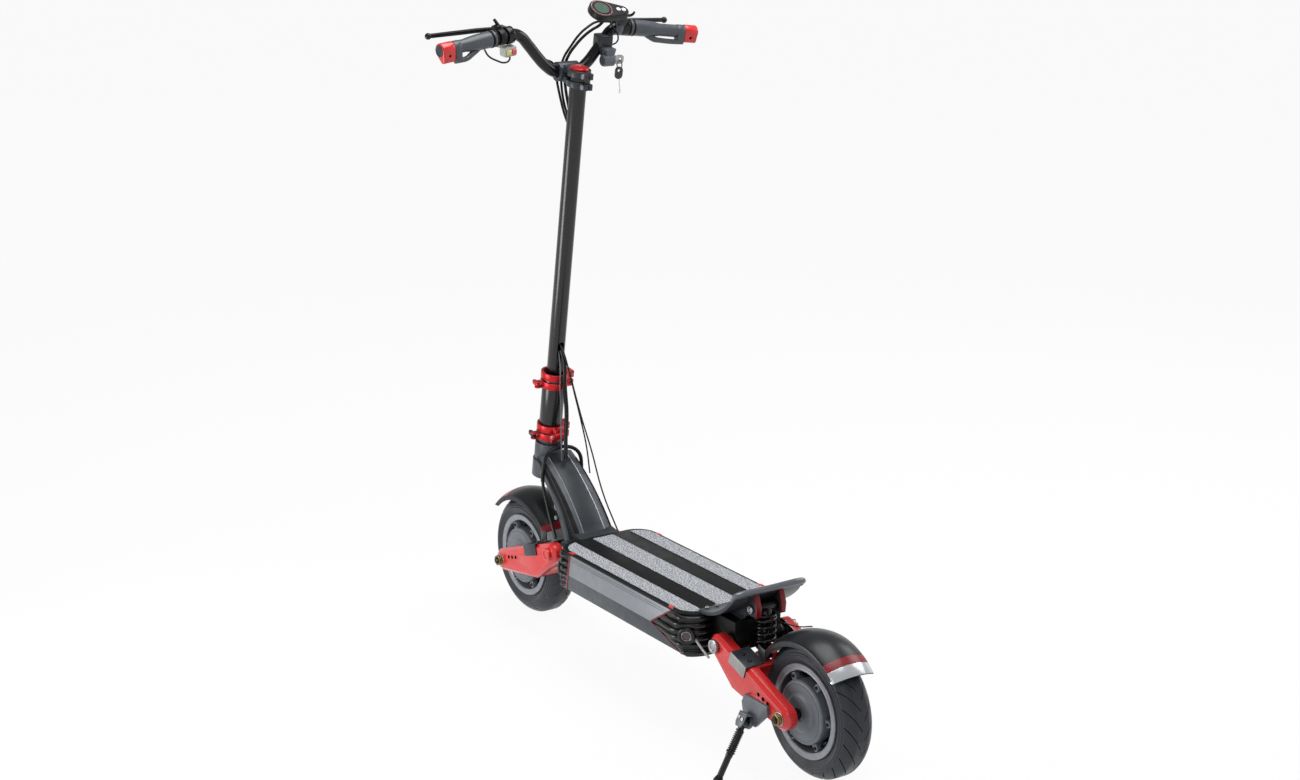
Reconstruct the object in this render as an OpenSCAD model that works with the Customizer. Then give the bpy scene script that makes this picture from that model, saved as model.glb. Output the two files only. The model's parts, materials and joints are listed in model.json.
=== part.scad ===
// Electric kick scooter: sprung wheels on swing arms, a folding stem and a riser handlebar.
// Millimetres. +X is forward, +Y is the rider's left, +Z is up, and the ground is z = 0.

/* [Wheels] */
// Outer diameter of the tyres
tyre_d = 255; // [250:1:260]
// Width of the tyres
tyre_w = 72; // [68:1:76]
// Width of the flat tread that meets the ground
tread_w = 24; // [20:1:28]
// Diameter of the rim flanges
rim_d = 176; // [172:1:180]
// Width between the rim flanges
rim_w = 56; // [54:1:58]
// Diameter of the wheel axles
axle_d = 14; // [12:0.5:16]
// Diameter of the brake discs
disc_d = 140; // [130:1:144]
// Gap between the tread and the mudguard
guard_gap = 13; // [11:0.5:15]
// Width of the mudguards
guard_w = 90; // [86:1:94]
// Wall of the mudguards
guard_t = 3; // [2:0.5:4]

/* [Suspension] */
// Level distance from an arm's pivot to its axle
arm_reach = 196; // [192:1:200]
// Height of an arm's pivot above its axle
arm_rise = 71.5; // [69:0.5:74]
// Distance between the inner faces of an arm's legs
arm_gap = 128; // [126:1:134]
// Thickness of an arm's leg
leg_t = 24; // [20:1:28]
// Diameter of the arm pivot bolts
pivot_d = 16; // [12:0.5:18]
// Diameter of the shock absorber pins
pin_d = 10; // [8:0.5:11]
// Outer diameter of the shock springs
spring_d = 36; // [34:0.5:37]
// Wire of the shock springs
spring_wire = 5; // [4:0.25:5.5]
// Turns of the shock springs
spring_turns = 5; // [4:0.5:6]

/* [Deck] */
// Length of the deck
deck_len = 472; // [450:2:490]
// Width of the deck at its side crease
deck_w = 232; // [222:1:240]
// Width of the top plate
plate_w = 214; // [206:1:218]
// Width of the deck's underside
belly_w = 200; // [190:1:210]
// Height of the top plate's upper face
deck_top = 240; // [238:0.5:243]
// Height of the deck with its plate
deck_h = 85; // [80:1:88]
// Height of the side crease above the underside
crease_h = 42; // [36:1:48]
// Thickness of the top plate
plate_t = 5; // [4:0.5:7]
// Wall of the deck tray and its end caps
tray_t = 4; // [3:0.5:5]
// Radius of the deck's corners
corner_r = 54; // [48:1:60]
// Width of the red piping
piping_w = 4; // [3:0.5:6]
// Thickness of the grip strips
strip_t = 1.2; // [0.8:0.1:2]
// Distance from the deck's end to an arm pivot
pivot_gap = 58; // [56:0.5:61]

/* [Steering] */
// Backward lean of the steering axis in degrees
rake = 9.24; // [8.8:0.02:9.6]
// Distance from the front axle forward to where the steering axis meets the ground
steer_lead = 5.6; // [3:0.2:8]
// Bottom of the head tube along the steering axis
head_s = 361; // [359:0.5:364]
// Height of the head tube
head_h = 37; // [33:0.5:38]
// Diameter of the head tube
head_d = 58; // [56:0.5:64]
// Diameter of the steering tube
steerer_d = 38; // [34:0.5:40]
// Width of the neck beam
neck_w = 92; // [84:1:96]
// Thickness of the neck beam
neck_t = 17; // [14:0.5:19]
// Thickness of the fork beam
fork_t = 18; // [14:0.5:20]

/* [Stem] */
// Height of the fold line along the steering axis
fold_s = 423; // [421:0.5:426]
// Diameter of the stem sleeve
sleeve_d = 48; // [46:0.5:50]
// Outer diameter of the clamp rings
ring_d = 57; // [55:0.5:60]
// Height of each clamp ring
ring_h = 14; // [12:0.5:15]
// Bottom of the upper pair of clamp rings along the steering axis
collar_s = 523; // [510:1:540]
// Diameter of the stem tube
stem_d = 34; // [32:0.5:36]
// Wall of the stem tube
stem_wall = 2.5; // [2:0.25:3]
// Top of the stem tube along the steering axis
stem_s = 1196; // [1190:1:1204]

/* [Handlebar] */
// Diameter of the handlebar
bar_d = 22.2; // [21:0.1:23]
// Distance from the steering axis forward to the handlebar's middle
bar_reach = 46.5; // [44:0.5:50]
// Distance from the top of the stem tube down to the handlebar's middle
bar_drop = 16; // [13:0.5:19]
// Rise from the handlebar's middle to its grips
bar_rise = 79; // [72:0.5:84]
// Distance from the middle to the straight end of the handlebar
grip_y = 122; // [118:0.5:126]
// Length of each straight end
grip_run = 172; // [166:0.5:178]
// Backward sweep of the grips in degrees
bar_sweep = 7.25; // [5:0.25:9]
// Downward slope of the grips in degrees
bar_droop = 5.6; // [4:0.1:7]
// Diameter of the grips
grip_d = 32; // [30:0.5:34]

/* [Fits] */
// Gap between pieces that are fixed together
fit_gap = 0.1; // [0.05:0.05:0.15]
// Gap between a turning shaft and its bore
shaft_gap = 0.05; // [0.03:0.01:0.08]
// Gap between pieces that move past each other
run_gap = 0.5; // [0.4:0.1:0.6]

/* [Hidden] */
$fn = 64;

// Wheel and arm places
tyre_r = tyre_d / 2;
rim_r = rim_d / 2;
axle_z = tyre_r;
axle_x = deck_len / 2 + pivot_gap + arm_reach;
pivot_x = deck_len / 2 + pivot_gap;
pivot_z = axle_z + arm_rise;
leg_y = arm_gap / 2;
leg_outer = leg_y + leg_t;
axle_boss_r = 23;
pivot_boss_r = 21;
leg_bevel = 7;
leg_hole_at = [34, 16];
leg_hole_step = [14, 4];
leg_hole_r = 4;
leg_hole_depth = 10;
// The leg's waist and belly, from the axle
waist_x = 113;
waist_top = 66;
waist_low = -3;
belly_x = 142;
belly_z = 2;
leg_slope = atan2(arm_rise - waist_top, arm_reach - waist_x)
    + asin(pivot_boss_r / norm([arm_reach - waist_x, arm_rise - waist_top]));
// Lower eye of the shock absorbers, from the axle
eye_x = arm_reach - 36;
eye_z = arm_rise - 24;
eye_w = 20;
eye_r = 9.5;
ear_t = 7;
rear_shock_top = [eye_x, deck_top + 30 - axle_z];
guard_r = tyre_r + guard_gap + guard_t;
guard_edge_r = guard_r - 12.5;
guard_end = 137;
guard_clear = 4.5;
bracket_start = waist_x - 16;
bracket_end = waist_x + 34;
bracket_t = 2.5;
bead_r = rim_r - 4;
drum_r = rim_r - 14;
flange_t = 5;
disc_t = 2;
disc_y = rim_w / 2 + 19;
stator_w = 40;
nut_d = 30;
nut_h = 9;
nut_tail = 4;
spacer_r = 11;
sidewall_in = 14;
cover_seat = 3;
cover_lip = 4;
cover_shoulder = 10;
cover_dome = 12;
cover_nose = 17;
cover_nose_r = 32;
cover_bolt_in = 7;
cover_bolt_r = 3.5;
cover_bolt_h = 3;
disc_hole_r = 5;
disc_hole_in = 10;
disc_window_r = 9;
disc_window_in = 32;
disc_bore_r = axle_d / 2 + 9;
disc_mount_r = 27;
magnet_t = 10;
caliper_inset = 13;
caliper_turn = 52;
caliper_in = 20;
caliper_h = 34;
caliper_w = 44;
tab_drop = 22;
tab_bolt_r = 5;
tab_bolt_h = 4;
tab_bolt_in = 14;
tab_bolt_pitch = 22;
tab_bolt_drop = 12;

// Deck places
deck_end = deck_len / 2;
deck_low = deck_top - deck_h;
crease_z = deck_low + crease_h;
plate_z = deck_top - plate_t;
plate_corner_r = corner_r - (deck_w - plate_w) / 2;
cap_top = 57;
cap_low = 32;
front_cap_crease = 63;
rear_cap_crease = 112;
piping_proud = 0.8;
rib_depth = 3;
rib_h = 4;
rib_pitch = 13;
rib_count = 5;
rib_low = 13.5;
cap_t = tray_t + rib_depth;
end_wall = 8;
lamp_r = 17;
lamp_depth = 9;
lamp_proud = 2;
lamp_rim = 4;
lens_back = 4;
strip_middle_w = 48;
strip_outer_w = 34;
strip_margin = 7;
strip_end = 12;
block_w = 104;
kick_w = 156;
kick_t = 7;
kick_lip_r = 6.5;
kick_run = 56;
kick_back = 104;
kick_rise = 67;
kick_screws = [40, 62];
kick_screw_r = 4;
kick_screw_h = 2.5;
gusset_y = 23;
gusset_t = 10;
gusset_in = 26;
flange_plate_t = 13;

// Steering places, along the steering axis
steer_x = axle_x + steer_lead;
crown_s = head_s - 3;
crown_h = 37;
crown_r = 31;
column_d = sleeve_d;
hinge_x = -36;
hinge_r = 6.5;
hinge_pin_d = 7;
fold_gap = 4;
collar_gap = 5;
upper_collar_s = collar_s + ring_h + collar_gap;
sleeve_up = 4;
bearing_h = 8;
bearing_d = steerer_d + 9;
neck_start = [deck_end + 16, deck_top - 4];
neck_end_s = head_s + 25;
neck_end = [steer_x - 19 * cos(rake) - neck_end_s * sin(rake), neck_end_s * cos(rake) - 19 * sin(rake)];
neck_bow = 13;
neck_taper = 0.88;
neck_edge = 5;
neck_flat = 0.55;
flange_up = 10;
fork_start = [pivot_x, pivot_z];
fork_end_s = crown_s - 14;
fork_end = [steer_x - 6 * cos(rake) - fork_end_s * sin(rake), fork_end_s * cos(rake) - 6 * sin(rake)];
fork_bow = 19;
fork_w = 84;
fork_top_w = 56;
// Upper eye of the front shock absorber under the fork beam, from the front axle
front_eye_share = 0.5137;
front_eye_drop = 24.7;
front_ear_half = 11.4;
front_ear_sink = 2;
front_ear_share = front_ear_half / norm(fork_end - fork_start);
function fork_spot(t, out) =
    let (p = bow_point(fork_start, fork_end, fork_bow, t), n = bow_across(fork_start, fork_end, fork_bow, t))
    [axle_x - p[0] - n[0] * out, p[1] + n[1] * out - axle_z];
front_shock_top = fork_spot(front_eye_share, -front_eye_drop);
// The mudguards end clear of the front spring's line
spring_line = unit(front_shock_top - [eye_x, eye_z]);
spring_reach = eye_x * spring_line[1] - eye_z * spring_line[0];
guard_start = atan2(-spring_line[0], spring_line[1])
    + acos(min(1, (spring_reach - spring_d / 2 - guard_clear) / guard_r));

// Handlebar places
bar_s = stem_s - bar_drop;
lever_pivot = [34, 16, 3];
lever_tip = [80, 146, 3];
lever_t = 7;
perch_w = 14;
perch_wall = 6;
perch_pin_in = 11;
perch_pin_r = 3;
perch_cheek_r = 8;
perch_cheek_t = 3;
lever_tip_r = 6.5;
left_perch_y = 5;
right_perch_y = 3;
ring_y = 43;
ring_len = 12;
grip_start = ring_y + ring_len + 1;
grip_len = 88;
pod_y = 23;
lock_ring_d = 34;
display_at = [-35, -60, 42];
display_tilt = 26;
display_h = 20;
display_r = 32;
tail_y = 62;
tail_r = 18;
button_r = 5;
button_rise = 2;
key_rise = 22;
key_at = [24, -80, bar_s + key_rise];
key_r = 12;
key_len = 26;
key_clamp = [34, 30, 36];
key_clamp_from = [10, -18, 10];
key_arm = [30, 18, 26];
key_arm_from = [-8, -10, 0];
key_bore_end = 4;
stand_at = [-413, 106, 98];
stand_lean = 29;
stand_line = 2;
stand_len = stand_at[2] / cos(stand_lean) + stand_line + 12;

// Radii and routes of the cables that the scooter holds, in the steering axes
cable_r = 2.5;
lead_r = 3;
loom_r = 4.5;
wire_r = 1.6;
arch_r = 4;
left_brake_route = [[83, 129.5, 1261.5], [84, 113, 1260], [80, 100, 1253], [71, 78, 1230], [68, 56, 1211],
    [68, 36, 1199], [70, 18, 1190], [71, 10, 1172], [60, 9, 1148], [42, 10, 1122], [26, 10, 1100], [10, 7, 1078]];
right_brake_route = [[83, -128.2, 1261.5], [85, -106, 1263], [81, -82, 1264], [78, -62, 1256], [76, -44, 1244],
    [72, -22, 1221], [69, -6, 1200], [70, -2, 1178], [61, 0, 1150], [44, 3, 1122], [28, 3, 1100], [10, 1, 1076]];
display_route = [[54, -86, 1291], [62, -90, 1276], [68, -84, 1262], [71, -68, 1252], [71, -50, 1240],
    [69, -30, 1222], [68, -16, 1204], [70, -10, 1178], [60, -8, 1150], [42, -6, 1118], [26, -5, 1094], [10, -5, 1070]];
key_wire_route = [[38, -84, 1287], [37, -89, 1272], [34, -99, 1259], [33, -106, 1246], [36, -106, 1234],
    [41, -100, 1228]];
switch_route = [[34, 130, 1216], [22, 134, 1204], [20, 158, 1196], [28, 178, 1206], [36, 176, 1222]];
loom_route = [[-14, -2, 608], [-25, -3, 592], [-33, -2, 572], [-36, -2, 548], [-38, -6, 516], [-42, -9, 484],
    [-48, -8, 452], [-54, -5, 424], [-60, -4, 400], [-64, -4, 382]];
silver_route = [[-12, 3, 606], [-22, 5, 592], [-31, 7, 572], [-36, 7, 530], [-40, 4, 496], [-46, 4, 460],
    [-53, 5, 424], [-60, 6, 398], [-64, 6, 380]];
short_wire_route = [[-12, -3, 616], [-24, -6, 598], [-33, -12, 570], [-46, -24, 516], [-58, -35, 466],
    [-74, -45, 408], [-88, -50, 352]];
long_wire_route = [[-12, 1, 622], [-25, -1, 606], [-38, -9, 572], [-49, -24, 516], [-64, -36, 464],
    [-92, -44, 412], [-143, -50, 330], [-204, -54, 270]];
arch_route = [[-60, 47, 338], [-59, 47, 360], [-55, 42, 384], [-50, 28, 398], [-48, 10, 403], [-48, -12, 402],
    [-50, -30, 396], [-54, -43, 382], [-58, -47, 360], [-59, -47, 342]];

// Frames that the pieces sit in
module axle_frame(end) translate([end * axle_x, 0, axle_z]) mirror([end > 0 ? 1 : 0, 0, 0]) children();
module steer_frame() translate([steer_x, 0, 0]) rotate([0, -rake, 0]) children();
module grip_frame(side) steer_frame() mirror([0, side < 0 ? 1 : 0, 0])
    translate([grip_root[0], grip_root[1], grip_root[2]]) rotate([-bar_droop, 0, bar_sweep]) children();
module display_frame() grip_frame(-1) translate(display_at) rotate([0, -display_tilt, 0]) children();

// A flat outline in X and Z, thickened from one y to another
module slab(from, to) translate([0, to, 0]) rotate([90, 0, 0]) linear_extrude(to - from) children();
// A flat outline in X and Z, on both sides of the middle
module both_slabs(from, to) {
    slab(from, to) children();
    slab(-to, -from) children();
}
// A round bar along Y
module rod_y(r, from, to) translate([0, from, 0]) rotate([-90, 0, 0]) cylinder(r = r, h = to - from);
module ring_z(r_out, r_in, h) difference() {
    cylinder(r = r_out, h = h);
    translate([0, 0, -1]) cylinder(r = r_in, h = h + 2);
}
module ring_y(r_out, r_in, from, to) difference() {
    rod_y(r_out, from, to);
    rod_y(r_in, from - 1, to + 1);
}
module hex_head(d, h) cylinder(d = d, h = h, $fn = 6);

// Closed skin over rings of points, each ring counter-clockwise seen from the far end
module skin(rings) {
    sides = len(rings[0]);
    last = len(rings) - 1;
    points = [for (ring = rings) each ring];
    walls = [for (i = [0:last - 1], k = [0:sides - 1])
        let (a = i * sides + k, b = i * sides + (k + 1) % sides)
        each [[a, a + sides, b + sides], [a, b + sides, b]]];
    near_cap = [for (k = [1:sides - 2]) [0, k, k + 1]];
    far_cap = [for (k = [1:sides - 2]) [last * sides, last * sides + k + 1, last * sides + k]];
    polyhedron(points, concat(walls, near_cap, far_cap), convexity = 8);
}
function unit(v) = v / norm(v);
function path_tangent(path, i) = unit(path[min(i + 1, len(path) - 1)] - path[max(i - 1, 0)]);
// Ring of a tube about a path's point, turned to face along the path
function tube_ring(centre, tangent, side, r, sides) =
    let (across = unit(cross(side, tangent)), up = cross(tangent, across))
    [for (k = [0:sides - 1]) centre + r * (cos(360 * k / sides) * across + sin(360 * k / sides) * up)];
module tube(path, side, r, sides)
    skin([for (i = [0:len(path) - 1]) tube_ring(path[i], path_tangent(path, i), side, r, sides)]);
// Smooth curve through a list of points
function curve_between(a, b, c, d, t) = 0.5 * (2 * b + (c - a) * t + (2 * a - 5 * b + 4 * c - d) * t * t
    + (3 * b - a - 3 * c + d) * t * t * t);
function smooth(points, steps) = [for (i = [0:len(points) - 2], j = [0:steps - 1])
    curve_between(points[max(i - 1, 0)], points[i], points[i + 1], points[min(i + 2, len(points) - 1)],
        j / steps),
    points[len(points) - 1]];

// Points of a bowed beam in X and Z, and the direction across it
function bow_point(p, q, bow, t) =
    let (along = unit(q - p)) p + (q - p) * t + 4 * bow * t * (1 - t) * [-along[1], along[0]];
function bow_across(p, q, bow, t) =
    let (along = unit(bow_point(p, q, bow, t + 0.01) - bow_point(p, q, bow, t - 0.01))) [-along[1], along[0]];
module bowed_beam(p, q, bow, from, to, steps, section, w_from, w_to)
    skin([for (i = [0:steps])
        let (t = from + (to - from) * i / steps, at = bow_point(p, q, bow, t), n = bow_across(p, q, bow, t))
        [for (k = section)
            [at[0] + n[0] * k[1], k[0] * (w_from + (w_to - w_from) * t) / 2, at[1] + n[1] * k[1]]]]);

// Coil spring along Z: its path, its least gap to itself and its skin
function coil_path(r, length, turns, wire) =
    let (steps = round(8 * turns), climb = (length - wire) / turns,
        helix = [for (i = [0:steps]) let (a = 360 * turns * i / steps)
            [r * cos(a), r * sin(a), wire / 2 + climb * turns * i / steps]],
        first = unit([0, 360 / 57.2958 * r, climb]), end_a = 360 * turns,
        final = unit([-sin(end_a) * 360 / 57.2958 * r, cos(end_a) * 360 / 57.2958 * r, climb]))
    concat([helix[0] - first * wire], helix, [helix[steps] + final * wire]);
function coil_gap(path, wire) =
    min([for (i = [0:len(path) - 7], j = [i + 6:len(path) - 1]) norm(path[i] - path[j])]) - wire;
module coil(path, wire)
    skin([for (i = [0:len(path) - 1])
        tube_ring(path[i], path_tangent(path, i), [0, 0, 1], wire / 2, 6)]);

// Wheels
module tyre_section() intersection() {
    translate([tyre_r - sqrt(pow(tyre_w / 2, 2) - pow(tread_w / 2, 2)), 0])
        circle(d = tyre_w);
    polygon([[bead_r, -rim_w / 2], [rim_r, -rim_w / 2], [rim_r + sidewall_in, -tyre_w], [tyre_r, -tyre_w],
        [tyre_r, tyre_w], [rim_r + sidewall_in, tyre_w], [rim_r, rim_w / 2], [bead_r, rim_w / 2]]);
}
module tyre() rotate([-90, 0, 0]) rotate_extrude($fn = 96) tyre_section();
module rim_drum() rotate([-90, 0, 0]) rotate_extrude($fn = 96) difference() {
    translate([drum_r, -rim_w / 2 - flange_t]) square([rim_r - drum_r, rim_w + 2 * flange_t]);
    translate([bead_r - fit_gap, -rim_w / 2 - fit_gap]) square([rim_r, rim_w + 2 * fit_gap]);
}
module motor_cover() rotate([-90, 0, 0]) rotate_extrude($fn = 96) polygon([
    [axle_d / 2 + shaft_gap, rim_w / 2 - cover_seat], [drum_r - fit_gap, rim_w / 2 - cover_seat],
    [drum_r - fit_gap, rim_w / 2 + cover_lip], [drum_r - 12, rim_w / 2 + cover_lip],
    [drum_r - 15, rim_w / 2 + cover_shoulder], [cover_nose_r + 4, rim_w / 2 + cover_dome],
    [cover_nose_r, rim_w / 2 + cover_nose], [axle_d / 2 + shaft_gap, rim_w / 2 + cover_nose]]);
module cover_bolts() for (i = [0:5]) rotate([0, 60 * i, 0])
    translate([drum_r - cover_bolt_in, rim_w / 2 + cover_lip, 0]) rod_y(cover_bolt_r, 0, cover_bolt_h);
module brake_disc() rotate([90, 0, 0]) translate([0, 0, disc_y - disc_t / 2]) difference() {
    cylinder(d = disc_d, h = disc_t, $fn = 96);
    translate([0, 0, -1]) cylinder(r = disc_bore_r, h = disc_t + 2);
    for (i = [0:8]) rotate(40 * i) translate([disc_d / 2 - disc_hole_in, 0, -1])
        cylinder(r = disc_hole_r, h = disc_t + 2);
    for (i = [0:5]) rotate(60 * i) translate([disc_d / 2 - disc_window_in, 0, -1])
        cylinder(r = disc_window_r, h = disc_t + 2);
}
module hub_motor() {
    rim_drum();
    motor_cover();
    mirror([0, 1, 0]) motor_cover();
    cover_bolts();
    mirror([0, 1, 0]) cover_bolts();
    brake_disc();
    disc_mount();
    magnet_ring();
}
module disc_mount() ring_y(disc_mount_r, disc_bore_r + 0.5, -disc_y + disc_t / 2, -rim_w / 2 - cover_nose);
module magnet_ring() ring_y(drum_r - fit_gap, drum_r - magnet_t, -stator_w / 2, stator_w / 2);
module wheel_axle() {
    rod_y(axle_d / 2, -leg_outer - nut_h - nut_tail, leg_outer + nut_h + nut_tail);
    ring_y(drum_r - magnet_t - 1, axle_d / 2 + fit_gap, -stator_w / 2, stator_w / 2);
    for (side = [-1, 1]) mirror([0, side < 0 ? 1 : 0, 0]) {
        difference() {
            translate([0, leg_outer, 0]) rotate([-90, 0, 0]) hex_head(nut_d, nut_h);
            rod_y(axle_d / 2 + fit_gap, leg_outer - 1, leg_outer + nut_h + 1);
        }
        ring_y(spacer_r, axle_d / 2 + fit_gap, rim_w / 2 + cover_nose + run_gap, leg_y - fit_gap);
    }
}

// Swing arm
module leg_rear_outline(inset) {
    circle(r = axle_boss_r - inset, $fn = 32);
    polygon([[waist_x, waist_top - inset], [waist_x + 2, waist_low + inset], [0, 0]]);
}
module leg_front_outline(inset) {
    translate([arm_reach, arm_rise]) circle(r = pivot_boss_r - inset, $fn = 32);
    polygon([[waist_x, waist_top - inset], [waist_x + 2, waist_low + inset], [belly_x, belly_z + inset],
        [arm_reach, arm_rise]]);
}
module leg_body(outer) hull() {
    slab(leg_y, leg_outer - leg_bevel) leg_outline(outer, 0);
    slab(leg_outer - 1, leg_outer) leg_outline(outer, leg_bevel);
}
module leg_outline(outer, inset) {
    if (outer) leg_rear_outline(inset);
    else leg_front_outline(inset);
}
module arm_leg() difference() {
    union() {
        leg_body(true);
        leg_body(false);
    }
    rod_y(axle_d / 2 + fit_gap, leg_y - 1, leg_outer + 1);
    translate([arm_reach, 0, arm_rise]) rod_y(pivot_d / 2 + shaft_gap, leg_y - 1, leg_outer + 1);
    for (i = [0:2]) translate([leg_hole_at[0] + i * leg_hole_step[0], 0, leg_hole_at[1] + i * leg_hole_step[1]])
        rod_y(leg_hole_r, leg_outer - leg_hole_depth, leg_outer + 1);
}
module arm_bridge() difference() {
    union() {
        slab(-leg_y, leg_y) polygon([[belly_x - 4, belly_z + 4], [belly_x + 6, belly_z + 4],
            [eye_x + 20, eye_z - 15], [eye_x + 20, eye_z - eye_r - 2], [belly_x - 4, eye_z - eye_r - 2]]);
        both_slabs(eye_w / 2 + run_gap, eye_w / 2 + run_gap + ear_t) {
            translate([eye_x, eye_z]) circle(r = eye_r);
            translate([eye_x - eye_r, eye_z - eye_r - 4]) square([2 * eye_r, eye_r + 4]);
        }
    }
    translate([eye_x, 0, eye_z]) rod_y(pin_d / 2 + fit_gap, -leg_y, leg_y);
}
module shock_pin(half) {
    rod_y(pin_d / 2, -half - 4, half + 4);
    for (side = [-1, 1]) mirror([0, side < 0 ? 1 : 0, 0])
        ring_y(pin_d / 2 + 3, pin_d / 2 + fit_gap, half, half + 5);
}
module brake_caliper() difference() {
    rotate([0, -caliper_turn, 0]) translate([disc_d / 2 - caliper_in, -leg_y, -caliper_w / 2])
        cube([caliper_h, leg_y - rim_w / 2 - caliper_inset, caliper_w]);
    rotate([90, 0, 0]) translate([0, 0, disc_y - disc_t / 2 - run_gap])
        cylinder(r = disc_d / 2 + 3, h = disc_t + 2 * run_gap, $fn = 96);
}
module swing_arm() {
    arm_leg();
    mirror([0, 1, 0]) arm_leg();
    arm_bridge();
    translate([eye_x, 0, eye_z]) shock_pin(eye_w / 2 + run_gap + ear_t);
    brake_caliper();
}

// Mudguard with its two brackets
module guard_section() {
    half = guard_w / 2;
    drop = guard_r - guard_edge_r;
    bend = (half * half + drop * drop) / (2 * drop);
    intersection() {
        translate([guard_r - bend, 0]) difference() {
            circle(r = bend, $fn = 128);
            circle(r = bend - guard_t, $fn = 128);
        }
        translate([guard_edge_r - 2, -half]) square([drop + 3, guard_w]);
    }
}
// A place at a radius and an angle past the mudguard's start
function guard_spot(r, past) = r * [cos(guard_start + past), sin(guard_start + past)];
module guard_bracket() {
    translate([waist_x, 0, waist_top]) rotate([0, -leg_slope, 0]) translate([-waist_x, 0, 0]) {
        translate([bracket_start, guard_w / 2 + 3, fit_gap])
            cube([bracket_end - bracket_start, leg_outer - guard_w / 2 - 2.5, bracket_t]);
        translate([bracket_start, leg_outer + fit_gap, -tab_drop])
            cube([bracket_end - bracket_start, bracket_t, tab_drop + bracket_t + fit_gap]);
        for (i = [0:1]) translate([bracket_start + tab_bolt_in + tab_bolt_pitch * i, 0, -tab_bolt_drop])
            rod_y(tab_bolt_r, leg_outer + fit_gap + bracket_t, leg_outer + fit_gap + bracket_t + tab_bolt_h);
    }
    slab(guard_w / 2 + fit_gap, guard_w / 2 + bracket_t + fit_gap) polygon([[waist_x - 14, waist_top - 2],
        [waist_x + 8, waist_top + 6], guard_spot(guard_r + 7, 9.7), guard_spot(guard_edge_r, 13)]);
}
module mudguard() {
    rotate([90, 0, 0]) rotate([0, 0, guard_start]) rotate_extrude(angle = guard_end - guard_start, $fn = 128)
        guard_section();
    guard_bracket();
    mirror([0, 1, 0]) guard_bracket();
}

// Shock absorber along Z, with its top eye at the origin
function shock_length(top) = norm([eye_x, eye_z] - top);
perch_t = 3;
perch_drop = 14;
rod_r = 6;
damper_r = 10.5;
damper_len = 30;
rod_short = 14;
function spring_room(length) = length - 2 * perch_drop - 2 * perch_t - 2 * run_gap;
module shock_frame(end, top) axle_frame(end) translate([top[0], 0, top[1]])
    rotate([0, atan2(top[0] - eye_x, top[1] - eye_z), 0]) children();
module shock_body(half) difference() {
    union() {
        rod_y(eye_r, -half, half);
        translate([0, 0, -perch_drop - perch_t]) cylinder(d = spring_d, h = perch_t);
        translate([0, 0, -perch_drop - damper_len]) cylinder(r = damper_r, h = perch_drop + damper_len);
    }
    rod_y(pin_d / 2 + shaft_gap, -half - 1, half + 1);
    translate([0, 0, -perch_drop - damper_len - 1]) cylinder(r = rod_r + run_gap, h = damper_len);
}
module shock_rod(length) difference() {
    union() {
        translate([0, 0, -length]) rod_y(eye_r - 1, -eye_w / 2, eye_w / 2);
        translate([0, 0, -length + perch_drop]) cylinder(d = spring_d, h = perch_t);
        translate([0, 0, -length]) cylinder(r = damper_r - 1, h = perch_drop);
        translate([0, 0, -length]) cylinder(r = rod_r, h = length - perch_drop - rod_short);
    }
    translate([0, 0, -length]) rod_y(pin_d / 2 + shaft_gap, -eye_w, eye_w);
}
module shock_spring(length) {
    room = spring_room(length);
    path = coil_path((spring_d - spring_wire) / 2, room, spring_turns, spring_wire);
    echo("least gap of a shock spring to itself", coil_gap(path, spring_wire));
    translate([0, 0, -length + perch_drop + perch_t + run_gap]) coil(path, spring_wire);
}

// Deck
module deck_section(inset) {
    rise = max(inset, 0);
    top = plate_w / 2 - inset - rise * (deck_w - plate_w) / 2 / (plate_z - crease_z);
    polygon([[-belly_w / 2 + inset, deck_low + inset], [belly_w / 2 - inset, deck_low + inset],
        [deck_w / 2 - inset, crease_z], [top, plate_z + rise], [-top, plate_z + rise],
        [-deck_w / 2 + inset, crease_z]]);
}
// A bar of the deck's section, longer than the deck
module deck_bar(inset) translate([-deck_len, 0, 0]) rotate([90, 0, 90]) linear_extrude(2 * deck_len)
    deck_section(inset);
module rounded_plan(length, width, r) {
    square([length - 2 * r, width], center = true);
    square([length, width - 2 * r], center = true);
    for (x = [-1, 1], y = [-1, 1]) translate([x * (length / 2 - r), y * (width / 2 - r)]) circle(r = r);
}
module plan_block(inset) translate([0, 0, deck_low - 1]) linear_extrude(deck_h + 2)
    rounded_plan(deck_len - 2 * inset, deck_w - 2 * inset, corner_r - inset);
// The zone of an end cap, past the slanted side lines
module cap_zone(end, shift) slab(-deck_w, deck_w) polygon([for (p = [[-deck_len, deck_low - 9],
    [cap_low, deck_low - 9], [cap_low, deck_low], [end > 0 ? front_cap_crease : rear_cap_crease, crease_z],
    [cap_top, plate_z], [cap_top, plate_z + 9], [-deck_len, plate_z + 9]])
    [end * (deck_end - p[0] + (p[0] > 0 ? shift : 0)), p[1]]]);
module lamp_frame(end, side) translate([end * (deck_end - corner_r), side * (deck_w / 2 - corner_r), crease_z])
    rotate([0, 90, atan2(side, end)]) translate([0, 0, corner_r]) children();
module deck_lamp() {
    difference() {
        translate([0, 0, -lamp_depth]) cylinder(r = lamp_r - fit_gap, h = lamp_depth + lamp_proud);
        translate([0, 0, -lens_back]) cylinder(r = lamp_r - lamp_rim, h = lamp_depth);
    }
    translate([0, 0, -lens_back]) cylinder(r = lamp_r - lamp_rim - fit_gap, h = lens_back + 1);
}
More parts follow.
